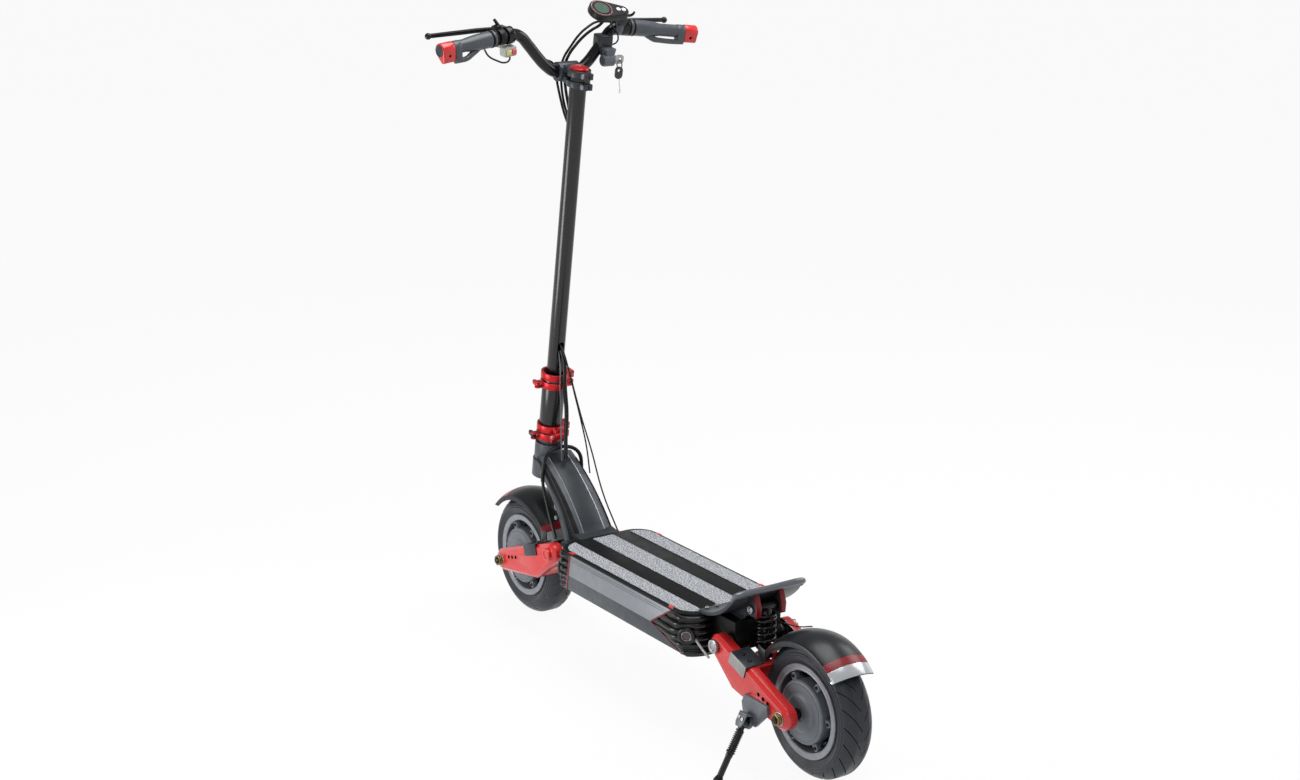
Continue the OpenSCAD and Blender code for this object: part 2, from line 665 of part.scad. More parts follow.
// Width of the deck's section at a height
function section_w(z) = z < crease_z ? belly_w + (deck_w - belly_w) * (z - deck_low) / (crease_z - deck_low)
    : deck_w - (deck_w - plate_w) * (z - crease_z) / (plate_z - crease_z);
module rib_groove(z) translate([0, 0, z]) linear_extrude(rib_h) difference() {
    square(2 * deck_len, center = true);
    intersection() {
        rounded_plan(deck_len - 2 * rib_depth, deck_w - 2 * rib_depth, corner_r - rib_depth);
        square([deck_len, section_w(z + rib_h / 2) - 2 * rib_depth], center = true);
    }
}
module end_cap(end) difference() {
    intersection() {
        deck_bar(0);
        plan_block(0);
        cap_zone(end, piping_w / 2);
    }
    intersection() {
        deck_bar(cap_t);
        plan_block(end_wall);
    }
    for (i = [0:rib_count - 1]) rib_groove(deck_low + rib_low + rib_pitch * i);
    for (side = [-1, 1]) lamp_frame(end, side) translate([0, 0, -lamp_depth - fit_gap])
        cylinder(r = lamp_r, h = corner_r);
}
module deck_tray() color([0.45, 0.48, 0.5]) difference() {
    deck_bar(0);
    deck_bar(tray_t);
    cap_zone(1, -piping_w / 2);
    cap_zone(-1, -piping_w / 2);
}
module deck_piping() color("firebrick") for (end = [-1, 1]) difference() {
    intersection() {
        deck_bar(-piping_proud);
        cap_zone(end, -piping_w / 2 + fit_gap);
        translate([-deck_len, -deck_w, 0]) cube([2 * deck_len, 2 * deck_w, plate_z]);
    }
    cap_zone(end, piping_w / 2 - fit_gap);
    deck_bar(tray_t);
}
module deck_end_caps() color([0.1, 0.1, 0.11]) for (end = [-1, 1]) end_cap(end);
module deck_top_plate() color([0.15, 0.16, 0.17]) translate([0, 0, plate_z]) linear_extrude(plate_t)
    rounded_plan(deck_len, plate_w, plate_corner_r);
module strip_plan() intersection() {
    rounded_plan(deck_len - 2 * strip_end, plate_w - 2 * strip_margin, plate_corner_r - strip_margin);
    union() {
        square([deck_len, strip_middle_w], center = true);
        for (side = [-1, 1]) translate([0, side * (plate_w / 2 - strip_margin - strip_outer_w / 2)])
            square([deck_len, strip_outer_w], center = true);
    }
}
module deck_grip_strips() color([0.6, 0.6, 0.62]) translate([0, 0, deck_top]) linear_extrude(strip_t) strip_plan();
// Battery and motor controllers, clear of the end caps and of each other
box_in = 45;
box_len = 58;
box_gap = 8;
box_side = 35;
box_w = belly_w - 2 * box_side;
box_h = 44;
fin_count = 9;
fin_pitch = 13;
fin_slot = 6;
fin_in = 10;
pack_len = deck_len - 2 * (box_in + box_len + box_gap);
pack_side = 25;
pack_w = belly_w - 2 * pack_side;
pack_h = 56;
module battery_pack() color("royalblue") translate([-pack_len / 2, -pack_w / 2, deck_low + tray_t])
    cube([pack_len, pack_w, pack_h]);
module motor_controllers() color("silver") for (end = [-1, 1])
    translate([end * (deck_end - box_in - box_len / 2), 0, deck_low + tray_t]) difference() {
        translate([-box_len / 2, -box_w / 2, 0]) cube([box_len, box_w, box_h]);
        for (i = [0:fin_count - 1]) translate([-box_len, -box_w / 2 + fin_in + i * fin_pitch, box_h - fin_slot])
            cube([2 * box_len, fin_slot, fin_slot + 1]);
    }
module deck_lamps() color("whitesmoke") for (end = [-1, 1], side = [-1, 1]) lamp_frame(end, side) deck_lamp();

// Neck beam from the deck's front to the head tube
module neck_frame() color([0.32, 0.34, 0.36]) {
    difference() {
        union() {
            bowed_beam(neck_start, neck_end, neck_bow, 0.02, 0.97, 12, [[-1, -neck_t], [1, -neck_t],
                [1, -neck_edge], [neck_flat, 0], [-neck_flat, 0], [-1, -neck_edge]], neck_w, neck_w * neck_taper);
            slab(-neck_w / 2, neck_w / 2) polygon([[deck_end, deck_low + flange_up],
                [deck_end + flange_plate_t, deck_low + flange_up],
                [deck_end + flange_plate_t, deck_top - 16], [neck_start[0] + 14, neck_start[1] - 10],
                [neck_start[0] + 8, neck_start[1] + 8], [deck_end + 6, deck_top], [deck_end, deck_top]]);
            steer_frame() translate([0, 0, head_s]) cylinder(d = head_d, h = head_h);
        }
        steer_frame() translate([0, 0, head_s - 60]) cylinder(d = bearing_d + 2 * fit_gap, h = head_h + 120);
    }
}
module headset_bearings() color("silver") steer_frame() for (s = [head_s, head_s + head_h - bearing_h])
    translate([0, 0, s]) ring_z(bearing_d / 2, steerer_d / 2 + shaft_gap, bearing_h);

// Rear pivot block, kick plate and bolts
module rear_pivot_block() color([0.12, 0.12, 0.13]) difference() {
    slab(-block_w / 2, block_w / 2) {
        polygon([[-deck_end, deck_low + 8], [-deck_end, deck_top], [-pivot_x - 12, deck_top],
            [-pivot_x - 12, pivot_z], [-pivot_x, pivot_z - 18]]);
        translate([-pivot_x, pivot_z]) circle(r = pivot_boss_r - 1);
    }
    translate([-pivot_x, 0, pivot_z]) rod_y(pivot_d / 2 + fit_gap, -block_w, block_w);
    translate([-pivot_x - 40, -gusset_y, deck_low]) cube([29, 2 * gusset_y, deck_h + 1]);
}
kick_from = [-deck_end + 10, deck_top + kick_t / 2];
kick_turn = [-deck_end - kick_run, deck_top + kick_t / 2];
kick_to = [-deck_end - kick_back, deck_top + kick_rise];
kick_screw_in = 5;
function kick_point(t) = (1 - t) * (1 - t) * kick_from + 2 * t * (1 - t) * kick_turn + t * t * kick_to;
function kick_across(t) = let (v = unit(kick_point(t + 0.01) - kick_point(t - 0.01))) [v[1], -v[0]];
kick_screw_z = kick_point(0.07)[1] + kick_t / 2 + fit_gap;
module kick_sheet() {
    polygon([for (i = [0:14]) kick_point(i / 14) + kick_across(i / 14) * kick_t / 2,
        for (i = [14:-1:0]) kick_point(i / 14) - kick_across(i / 14) * kick_t / 2]);
    translate(kick_to) circle(r = kick_lip_r);
}
module kick_gusset() {
    pin = [-axle_x + rear_shock_top[0], axle_z + rear_shock_top[1]];
    polygon([[-deck_end - gusset_in, deck_top], [-pivot_x - 6, deck_top], pin + [12, -14], pin + [-12, -14],
        pin + [-14, 6], kick_point(0.96), for (t = [0.9:-0.1:0.3]) kick_point(t)]);
}
module kick_plate() color([0.25, 0.26, 0.28]) difference() {
    union() {
        slab(-kick_w / 2, kick_w / 2) kick_sheet();
        both_slabs(gusset_y, gusset_y + gusset_t) kick_gusset();
    }
    axle_frame(-1) translate([rear_shock_top[0], 0, rear_shock_top[1]])
        rod_y(pin_d / 2 + fit_gap, -kick_w, kick_w);
}
module pivot_bolt(inner) {
    rod_y(pivot_d / 2, -leg_outer - 6, leg_outer + 6);
    for (side = [-1, 1]) mirror([0, side < 0 ? 1 : 0, 0]) {
        ring_y(pivot_d / 2 + 6, pivot_d / 2 + fit_gap, inner, leg_y - run_gap);
        ring_y(pivot_d / 2 + 5, pivot_d / 2 + fit_gap, leg_outer + run_gap, leg_outer + 7);
    }
}
module chassis_bolts() color("silver") {
    translate([-pivot_x, 0, pivot_z]) pivot_bolt(block_w / 2);
    axle_frame(-1) translate([rear_shock_top[0], 0, rear_shock_top[1]]) shock_pin(gusset_y + gusset_t);
    for (side = [-1, 1], y = kick_screws) translate([-deck_end + kick_screw_in, side * y, kick_screw_z])
        cylinder(r = kick_screw_r, h = kick_screw_h);
}

// Fork that steers, with the front arm's pivot
module fork_frame() color([0.2, 0.21, 0.22]) difference() {
    union() {
        steer_frame() {
            translate([0, 0, crown_s - crown_h]) cylinder(r = crown_r, h = crown_h);
            translate([0, 0, crown_s - 5]) cylinder(d = steerer_d, h = fold_s - crown_s);
            translate([0, 0, head_s + head_h + run_gap])
                cylinder(d = column_d, h = fold_s - fold_gap / 2 - head_s - head_h - run_gap);
        }
        bowed_beam(fork_start, fork_end, fork_bow, 0, 1, 12, [[-1, -fork_t / 2 + 3], [-0.9, -fork_t / 2],
            [0.9, -fork_t / 2], [1, -fork_t / 2 + 3], [1, fork_t / 2 - 3], [0.9, fork_t / 2], [-0.9, fork_t / 2],
            [-1, fork_t / 2 - 3]], fork_w, fork_top_w);
        axle_frame(1) {
            translate([arm_reach, 0, arm_rise]) rod_y(pivot_boss_r - 1, -fork_w / 2 - 6, fork_w / 2 + 6);
            both_slabs(eye_w / 2 + run_gap, eye_w / 2 + run_gap + ear_t) front_ear();
        }
    }
    axle_frame(1) {
        translate([arm_reach, 0, arm_rise]) rod_y(pivot_d / 2 + fit_gap, -fork_w, fork_w);
        translate([front_shock_top[0], 0, front_shock_top[1]]) rod_y(pin_d / 2 + fit_gap, -fork_w, fork_w);
    }
}
module front_ear() {
    translate(front_shock_top) circle(r = eye_r);
    polygon([front_shock_top + [-7, -6], front_shock_top + [7, -6],
        fork_spot(front_eye_share - front_ear_share, -front_ear_sink),
        fork_spot(front_eye_share + front_ear_share, -front_ear_sink)]);
}
module fork_pins() color("silver") {
    axle_frame(1) {
        translate([arm_reach, 0, arm_rise]) pivot_bolt(fork_w / 2 + 6);
        translate([front_shock_top[0], 0, front_shock_top[1]]) shock_pin(eye_w / 2 + run_gap + ear_t);
    }
    steer_frame() translate([hinge_x, 0, fold_s]) rod_y(hinge_pin_d / 2, -20, 20);
}

// Fold rings, clamp rings and their levers
knuckle_half = 9;
ring_ear_from = -14;
ring_ear_len = 22;
ring_ear_out = 10;
ring_slit = 2.4;
ring_slit_at = -4;
ring_screw_out = 4.5;
ring_screw_r = 2.5;
ring_screw_head_r = 4.5;
ring_screw_head_h = 4;
lever_at = [4, 37];
yoke_t = 2.6;
lever_pin_r = 3;
module clamp_ring() difference() {
    union() {
        cylinder(d = ring_d, h = ring_h);
        translate([ring_ear_from, -ring_d / 2 - ring_ear_out, 0]) cube([ring_ear_len, ring_ear_out + 9, ring_h]);
    }
    translate([0, 0, -1]) cylinder(d = sleeve_d + 2 * fit_gap, h = ring_h + 2);
    translate([ring_slit_at, -ring_d, -1]) cube([ring_slit, ring_d / 2, ring_h + 2]);
    translate([0, -ring_d / 2 - ring_screw_out, ring_h / 2]) rotate([0, 90, 0])
        cylinder(r = ring_screw_r + fit_gap, h = ring_d, center = true);
}
module ring_screw(s) translate([0, -ring_d / 2 - ring_screw_out, s + ring_h / 2]) rotate([0, 90, 0]) {
    translate([0, 0, ring_ear_from - 3]) cylinder(r = ring_screw_r, h = ring_ear_len + 3);
    translate([0, 0, ring_ear_from + ring_ear_len]) cylinder(r = ring_screw_head_r, h = ring_screw_head_h);
}
module lever_yoke() {
    for (s = [0, ring_h - yoke_t]) translate([0, 0, s]) linear_extrude(yoke_t) difference() {
        union() {
            translate(lever_at) circle(r = 6);
            translate([lever_at[0] - 6, 20]) square([12, lever_at[1] - 20]);
        }
        circle(d = sleeve_d + 2 * fit_gap);
    }
    translate([lever_at[0], lever_at[1], 0]) cylinder(r = lever_pin_r, h = ring_h);
}
module clamp_lever_plan() translate(lever_at) difference() {
    union() {
        circle(r = 5.5);
        polygon([[-3, -4.6], [26, -3], [40, -12], [43, -7], [28, 4], [-3, 4.6]]);
        translate([41.5, -9.5]) circle(r = 3.2);
    }
    circle(r = lever_pin_r + shaft_gap);
}
module clamp_lever() translate([0, 0, yoke_t + run_gap]) linear_extrude(ring_h - 2 * (yoke_t + run_gap))
    clamp_lever_plan();
module hinge_knuckle(half_from, half_to, down) both_slabs(half_from, half_to) {
    translate([hinge_x, fold_s]) circle(r = hinge_r);
    translate([hinge_x, down ? fold_s - ring_h : fold_s + fold_gap / 2]) square([12, ring_h - fold_gap / 2]);
}
module knuckle_pin_hole(gap) translate([hinge_x, 0, fold_s]) rod_y(hinge_pin_d / 2 + gap, -30, 30);
module fold_ring_lower() color("firebrick") steer_frame() difference() {
    union() {
        translate([0, 0, fold_s - fold_gap / 2 - ring_h]) {
            clamp_ring();
            lever_yoke();
        }
        hinge_knuckle(knuckle_half + run_gap, knuckle_half + 8, true);
    }
    knuckle_pin_hole(fit_gap);
    translate([hinge_x, 0, fold_s]) rod_y(hinge_r + run_gap, -knuckle_half - run_gap, knuckle_half + run_gap);
    cylinder(d = sleeve_d + 2 * fit_gap, h = stem_s);
}
module stem_rings() color("firebrick") steer_frame() {
    difference() {
        union() {
            translate([0, 0, fold_s + fold_gap / 2]) clamp_ring();
            hinge_knuckle(0, knuckle_half, false);
        }
        knuckle_pin_hole(shaft_gap);
        cylinder(d = sleeve_d + 2 * fit_gap, h = stem_s);
        for (side = [-1, 1]) translate([hinge_x, 0, fold_s]) mirror([0, side < 0 ? 1 : 0, 0])
            rod_y(hinge_r + run_gap, knuckle_half, knuckle_half + 9);
    }
    translate([0, 0, collar_s]) {
        clamp_ring();
        lever_yoke();
    }
    translate([0, 0, upper_collar_s]) clamp_ring();
}
module fold_lever() color([0.12, 0.12, 0.13]) steer_frame()
    translate([0, 0, fold_s - fold_gap / 2 - ring_h]) clamp_lever();
module collar_lever() color([0.12, 0.12, 0.13]) steer_frame() translate([0, 0, collar_s]) clamp_lever();

// Stem
module stem_sleeve() color([0.1, 0.1, 0.11]) steer_frame() translate([0, 0, fold_s + fold_gap / 2])
    ring_z(sleeve_d / 2, stem_d / 2 + fit_gap, upper_collar_s + sleeve_up - fold_s - fold_gap / 2);
slot_s = collar_s + 86;
slot_h = 34;
slot_w = 15;
entry_s = stem_s - 110;
entry_h = 48;
entry_w = 25;
stem_cap_h = 6;
stem_plug_h = 10;
// A round-ended slot across the tube's wall, from the middle to the back
module cable_slot(s, h, w) translate([-stem_d, 0, s]) rotate([0, 90, 0]) linear_extrude(stem_d) {
    square([h - w, w], center = true);
    for (end = [-1, 1]) translate([end * (h - w) / 2, 0]) circle(d = w);
}
module stem_tube() color([0.14, 0.14, 0.15]) steer_frame() difference() {
    translate([0, 0, fold_s + fold_gap / 2])
        ring_z(stem_d / 2, stem_d / 2 - stem_wall, stem_s - fold_s - fold_gap / 2);
    cable_slot(slot_s, slot_h, slot_w);
    rotate(180) cable_slot(entry_s, entry_h, entry_w);
}
module stem_cap() color("firebrick") steer_frame() {
    translate([0, 0, stem_s]) cylinder(d = stem_d + 4, h = stem_cap_h);
    translate([0, 0, stem_s - stem_plug_h]) cylinder(r = stem_d / 2 - stem_wall - fit_gap, h = stem_plug_h + 1);
}
band_h = 12;
band_gap = 9;
band_r = stem_d / 2 + 6.5;
band_ear = 15;
band_ear_w = 18;
band_arm_w = 30;
band_slit = 2.4;
band_screw_r = 3;
band_screw_head_r = 5;
band_screw_head_h = 4;
band_tops = [stem_s, stem_s - band_h - band_gap];
bar_boss_r = bar_d / 2 + 8;
bar_boss_half = 23;
module clamp_band(s) translate([0, 0, s]) {
    cylinder(r = band_r, h = band_h);
    translate([-band_r - band_ear, -band_ear_w / 2, 0]) cube([band_r + 4, band_ear_w, band_h]);
    translate([0, -band_arm_w / 2, 0]) cube([bar_reach, band_arm_w, band_h]);
}
module bar_clamp() color([0.13, 0.13, 0.14]) steer_frame() difference() {
    union() {
        for (s = band_tops) clamp_band(s - band_h);
        translate([bar_reach, 0, bar_s]) rod_y(bar_boss_r, -bar_boss_half, bar_boss_half);
    }
    translate([0, 0, bar_s - 60]) cylinder(r = stem_d / 2 + fit_gap, h = 120);
    translate([bar_reach, 0, bar_s]) rod_y(bar_d / 2 + fit_gap, -60, 60);
    translate([-60, -band_slit / 2, bar_s - 60]) cube([50, band_slit, 120]);
    for (s = band_tops) translate([-band_r - band_ear / 2 - 0.5, 0, s - band_h / 2])
        rod_y(band_screw_r + fit_gap, -band_ear_w, band_ear_w);
}
module stem_bolts() color("silver") steer_frame() {
    for (s = band_tops) translate([-band_r - band_ear / 2 - 0.5, 0, s - band_h / 2]) {
        rod_y(band_screw_r, -band_ear_w / 2, band_ear_w / 2 + band_screw_head_h);
        rod_y(band_screw_head_r, band_ear_w / 2, band_ear_w / 2 + band_screw_head_h);
    }
    for (s = [fold_s + fold_gap / 2, collar_s, upper_collar_s]) ring_screw(s);
}

// Handlebar with its bends
grip_root = [bar_reach + 10, grip_y, bar_s + bar_rise];
grip_dir = [-sin(bar_sweep) * cos(bar_droop), cos(bar_sweep) * cos(bar_droop), -sin(bar_droop)];
half_bar = [[bar_reach, bar_boss_half + 3, bar_s], [bar_reach + 2, 47, bar_s + 0.16 * bar_rise],
    [bar_reach + 5, 66, bar_s + 0.4 * bar_rise], [bar_reach + 8, 86, bar_s + 0.69 * bar_rise],
    [bar_reach + 10.4, 104, bar_s + 0.92 * bar_rise], grip_root, grip_root + 2 * grip_dir,
    grip_root + 14 * grip_dir];
function half_path() = concat(smooth(half_bar, 4), [grip_root + grip_run * grip_dir]);
function mirrored(path) = [for (i = [len(path) - 1:-1:0]) [path[i][0], -path[i][1], path[i][2]]];
module handlebar_skin(r) tube(concat(mirrored(half_path()), half_path()), [1, 0, 0], r, 24);
module handlebar() color([0.15, 0.15, 0.16]) steer_frame() handlebar_skin(bar_d / 2);

// Grip with its palm rest and window
palm_drop = 20;
palm_back = 8;
module grip_palm(y, w, r) translate([-palm_back, y, -palm_drop]) rod_y(r, 0, w);
module grip() difference() {
    union() {
        rod_y(grip_d / 2, grip_start, grip_start + 42);
        rod_y(grip_d / 2 - 2, grip_start + 40, grip_start + grip_len);
        hull() {
            rod_y(grip_d / 2 - 1, grip_start + 22, grip_start + 26);
            grip_palm(grip_start + 58, grip_len - 58, 5);
            rod_y(grip_d / 2 - 2, grip_start + grip_len - 6, grip_start + grip_len);
        }
    }
    rod_y(bar_d / 2 + fit_gap, 0, grip_run + 10);
    translate([0, 0, -grip_d / 2 + 2]) hull() {
        translate([-40, grip_start + 44, -1]) rotate([0, 90, 0]) cylinder(r = 2, h = 80, $fn = 24);
        translate([-40, grip_start + 70, -2]) rotate([0, 90, 0]) cylinder(r = 3.4, h = 80, $fn = 24);
        translate([-40, grip_start + 66, 2]) rotate([0, 90, 0]) cylinder(r = 2, h = 80, $fn = 24);
    }
}
cap_len = 27;
module grip_end() difference() {
    hull() {
        rod_y(grip_d / 2 - 2, grip_start + grip_len + fit_gap, grip_start + grip_len + cap_len);
        grip_palm(grip_start + grip_len + fit_gap, cap_len - 4, 5);
    }
    rod_y(bar_d / 2 + fit_gap, 0, grip_run + 0.2);
}
module grips() color([0.4, 0.42, 0.45]) for (side = [-1, 1]) grip_frame(side) {
    grip();
    ring_y(lock_ring_d / 2, bar_d / 2 + fit_gap, ring_y, ring_y + ring_len);
}
module grip_end_caps() color("firebrick") for (side = [-1, 1]) grip_frame(side) grip_end();

// Brake levers and what carries them
perch_low = lever_pivot[2] - lever_t / 2 - run_gap - perch_cheek_t;
perch_h = lever_t + 2 * run_gap + 2 * perch_cheek_t;
module perch_pin_frame(y, z) translate([lever_pivot[0], y + perch_pin_in, z]) children();
module perch(y) difference() {
    union() {
        rod_y(bar_d / 2 + perch_wall, y, y + perch_w);
        translate([0, y, -7]) cube([lever_pivot[0] - 6, perch_w, 20]);
        for (z = [perch_low, lever_pivot[2] + lever_t / 2 + run_gap])
            perch_pin_frame(y, z) cylinder(r = perch_cheek_r, h = perch_cheek_t);
        translate([lever_pivot[0] - perch_w, y, perch_low]) cube([perch_w, perch_w, perch_h]);
        perch_pin_frame(y, perch_low) cylinder(r = perch_pin_r, h = perch_h);
    }
    rod_y(bar_d / 2 + fit_gap, y - 1, y + perch_w + 1);
    perch_pin_frame(y, perch_low + perch_cheek_t) difference() {
        cylinder(r = perch_cheek_r + 1.5, h = lever_t + 2 * run_gap);
        cylinder(r = perch_pin_r, h = lever_t + 2 * run_gap);
    }
    perch_pin_frame(y, perch_low + perch_cheek_t) translate([-3, 0, 0]) cube([20, 20, lever_t + 2 * run_gap]);
}
module brake_lever(y) difference() {
    union() {
        perch_pin_frame(y, lever_pivot[2] - lever_t / 2) cylinder(r = perch_cheek_r, h = lever_t);
        translate([0, y - 5, lever_pivot[2] - lever_t / 2]) linear_extrude(lever_t) polygon([
            [lever_pivot[0] - 2, 18], [lever_pivot[0] + 8, 14], [56, 44], [66, 80],
            [lever_tip[0] + 3, lever_tip[1] - 6], [lever_tip[0] - 4, lever_tip[1] - 2], [57, 84], [46, 46]]);
        translate(lever_tip + [-1, y - 8, 0]) sphere(r = lever_tip_r);
    }
    perch_pin_frame(y, -lever_t) cylinder(r = perch_pin_r + shaft_gap, h = 4 * lever_t);
}
module brake_perches() color([0.1, 0.1, 0.11]) {
    grip_frame(1) perch(left_perch_y);
    grip_frame(-1) perch(right_perch_y);
}
module left_brake_lever() color([0.16, 0.16, 0.17]) grip_frame(1) brake_lever(left_perch_y);
module right_brake_lever() color([0.16, 0.16, 0.17]) grip_frame(-1) brake_lever(right_perch_y);

// Left switch pod with two buttons
pod_w = 14;
pod_box = [28, 40, 24];
pod_box_at = [-20, -1, -42];
pod_wall = 5;
pod_neck_w = 18;
stick_at = [9, 26];
stick_lean = [18, 20, 0];
stick_r = 2.5;
stick_len = 17;
button_w = 11;
pod_well = 8;
yellow_y = 23;
red_y = 9;
module pod_button_frame(y) grip_frame(1) translate([pod_box_at[0], y, pod_box_at[2] + pod_box[2] / 2])
    rotate([0, -90, 0]) children();
module switch_pod() color([0.12, 0.12, 0.13]) difference() {
    grip_frame(1) difference() {
        union() {
            rod_y(bar_d / 2 + pod_wall, pod_y, pod_y + pod_w);
            translate(pod_box_at) cube(pod_box);
            translate([-pod_neck_w / 2, pod_y, pod_box_at[2] + pod_box[2] - 1]) cube([pod_neck_w, pod_w, 16]);
            translate([stick_at[0] - 7, pod_y, stick_at[1] - 16]) cube([14, pod_w, 17]);
            translate([stick_at[0], pod_y + pod_w / 2, stick_at[1]]) rotate(stick_lean)
                cylinder(r = stick_r, h = stick_len);
        }
        rod_y(bar_d / 2 + fit_gap, 0, 80);
    }
    for (y = [yellow_y, red_y]) pod_button_frame(y) translate([0, 0, -pod_well])
        cylinder(d = button_w + 2 * run_gap, h = 20);
}
module pod_button() translate([0, 0, 3 - pod_well]) cylinder(d = button_w, h = pod_well + 1);
module yellow_button() color("gold") pod_button_frame(yellow_y) pod_button();
module red_button() color("crimson") pod_button_frame(red_y) pod_button();

// Display with two buttons and a trigger throttle
mode_y = 44;
power_y = 59;
trigger_at = [16, 56, -16];
trigger_room_r = 18.5;
trigger_boss_r = 10;
trigger_pin_r = 3;
trigger_hub_r = 9;
trigger_t = 6;
trigger_low = trigger_at[2] + 4;
glass_in = 6;
glass_deep = 3;
button_deep = 4;
display_clamp_from = 20;
display_clamp_to = 40;
module display_plan(inset) hull() {
    circle(r = display_r - inset, $fn = 48);
    translate([0, tail_y]) circle(r = tail_r - inset, $fn = 48);
}
module display_housing() color([0.13, 0.13, 0.14]) {
    difference() {
        union() {
            display_frame() difference() {
                union() {
                    translate([0, 0, -display_h]) linear_extrude(display_h) display_plan(0);
                    translate([trigger_at[0], trigger_at[1], -display_h])
                        cylinder(r = trigger_boss_r, h = display_h - 4);
                }
                translate([0, 0, -glass_deep]) cylinder(r = display_r - glass_in, h = glass_deep + 2);
                for (y = [mode_y, power_y]) translate([0, y, -button_deep - button_rise])
                    cylinder(r = button_r + run_gap, h = 10);
                translate([trigger_at[0], trigger_at[1], trigger_low])
                    cylinder(r = trigger_room_r, h = trigger_t + 2 * run_gap);
            }
            grip_frame(-1) {
                rod_y(bar_d / 2 + perch_wall, display_clamp_from, display_clamp_to);
                translate([display_at[0] + 9, display_clamp_from + 2, 10]) cube([24, 16, 16]);
            }
        }
        grip_frame(-1) rod_y(bar_d / 2 + fit_gap, 0, 80);
    }
    display_frame() translate([trigger_at[0], trigger_at[1], -display_h + 2])
        cylinder(r = trigger_pin_r, h = display_h - 6);
}
module display_glass() color([0.3, 0.42, 0.37]) display_frame() translate([0, 0, -glass_deep])
    cylinder(r = display_r - glass_in - fit_gap, h = glass_deep + 1);
module display_button(y) display_frame() translate([0, y, -button_deep])
    cylinder(r = button_r, h = button_deep + button_rise);
module mode_button() color("whitesmoke") display_button(mode_y);
module power_button() color("crimson") display_button(power_y);
module throttle_lever() color([0.1, 0.1, 0.11]) display_frame()
    translate([trigger_at[0], trigger_at[1], trigger_low + run_gap]) linear_extrude(trigger_t) difference() {
        union() {
            circle(r = trigger_hub_r);
            polygon([[-4, 6], [8, 3], [16, 20], [15, 36], [20, 46], [15, 48], [9, 38], [9, 22]]);
        }
        circle(r = trigger_pin_r + shaft_gap);
    }

// Key switch under the right bend
module key_switch() color([0.11, 0.11, 0.12]) steer_frame() difference() {
    union() {
        translate(key_at + key_clamp_from) cube(key_clamp);
        translate(key_at + key_arm_from) cube(key_arm);
        translate(key_at) rod_y(key_r, -key_len / 2, key_len / 2);
    }
    handlebar_skin(bar_d / 2 + run_gap);
    translate(key_at) rod_y(key_shank_r + shaft_gap, -key_len, key_bore_end);
}
key_shank_r = 4;
key_end = key_at[1] - key_len / 2;
bow_t = 3;
bow_w = 18;
bow_len = 22;
key_hole_r = 3.4;
key_hole_y = -16;
fob_t = 5;
fob_w = 17;
fob_h = 25;
fob_corner_r = 8;
fob_hole_r = 3.8;
fob_hole_drop = 7;
ring_wire_r = 1.1;
ring_bend_r = 9;
// A thin plate in Y and Z, with a hole across it
module tag_plate(t, hole_r) translate([-t / 2, 0, 0]) rotate([90, 0, 90]) linear_extrude(t) difference() {
    children();
    circle(r = hole_r);
}
module ignition_key() color("silver") steer_frame() translate([key_at[0], key_end, key_at[2]]) {
    rod_y(key_shank_r, -3, key_len / 2);
    translate([0, key_hole_y, 0]) tag_plate(bow_t, key_hole_r)
        translate([-key_hole_y - bow_len / 2 - 2, 0]) rounded_plan(bow_len, bow_w, bow_w / 3);
}
// The split ring rests low in the key's hole, and the fob hangs from the ring's lowest wire
module key_fob() color([0.2, 0.2, 0.21]) steer_frame() translate([key_at[0], key_end + key_hole_y, key_at[2]]) {
    ring_z = -(key_hole_r - ring_wire_r - run_gap) - ring_bend_r;
    fob_z = ring_z - ring_bend_r - (fob_hole_r - ring_wire_r - run_gap);
    translate([0, 0, ring_z]) rotate([90, 0, 0]) rotate_extrude($fn = 48)
        translate([ring_bend_r, 0]) circle(r = ring_wire_r, $fn = 24);
    translate([0, 0, fob_z]) tag_plate(fob_t, fob_hole_r)
        translate([0, fob_hole_drop - fob_h / 2]) rounded_plan(fob_w, fob_h, fob_corner_r);
}

// Cables
module handlebar_cables() color([0.05, 0.05, 0.06]) steer_frame() {
    tube(smooth(left_brake_route, 2), [0.9, 0.3, 0.1], cable_r, 8);
    tube(smooth(right_brake_route, 2), [0.9, -0.3, 0.1], cable_r, 8);
    tube(smooth(display_route, 2), [0.9, -0.3, 0.1], lead_r, 8);
    tube(smooth(key_wire_route, 3), [1, 0.3, 0.1], wire_r, 8);
    tube(smooth(switch_route, 3), [1, 0.1, 0.1], cable_r, 8);
}
module stem_cables() color([0.05, 0.05, 0.06]) steer_frame() {
    tube(smooth(loom_route, 2), [0.1, 1, 0.1], loom_r, 8);
    tube(smooth(silver_route, 2), [0.1, 1, 0.1], wire_r, 8);
    tube(smooth(short_wire_route, 2), [0.1, 1, 0.1], wire_r, 8);
    tube(smooth(long_wire_route, 2), [0.1, 1, 0.1], wire_r, 8);
    tube(smooth(arch_route, 3), [1, 0.1, 0.2], arch_r, 8);
}

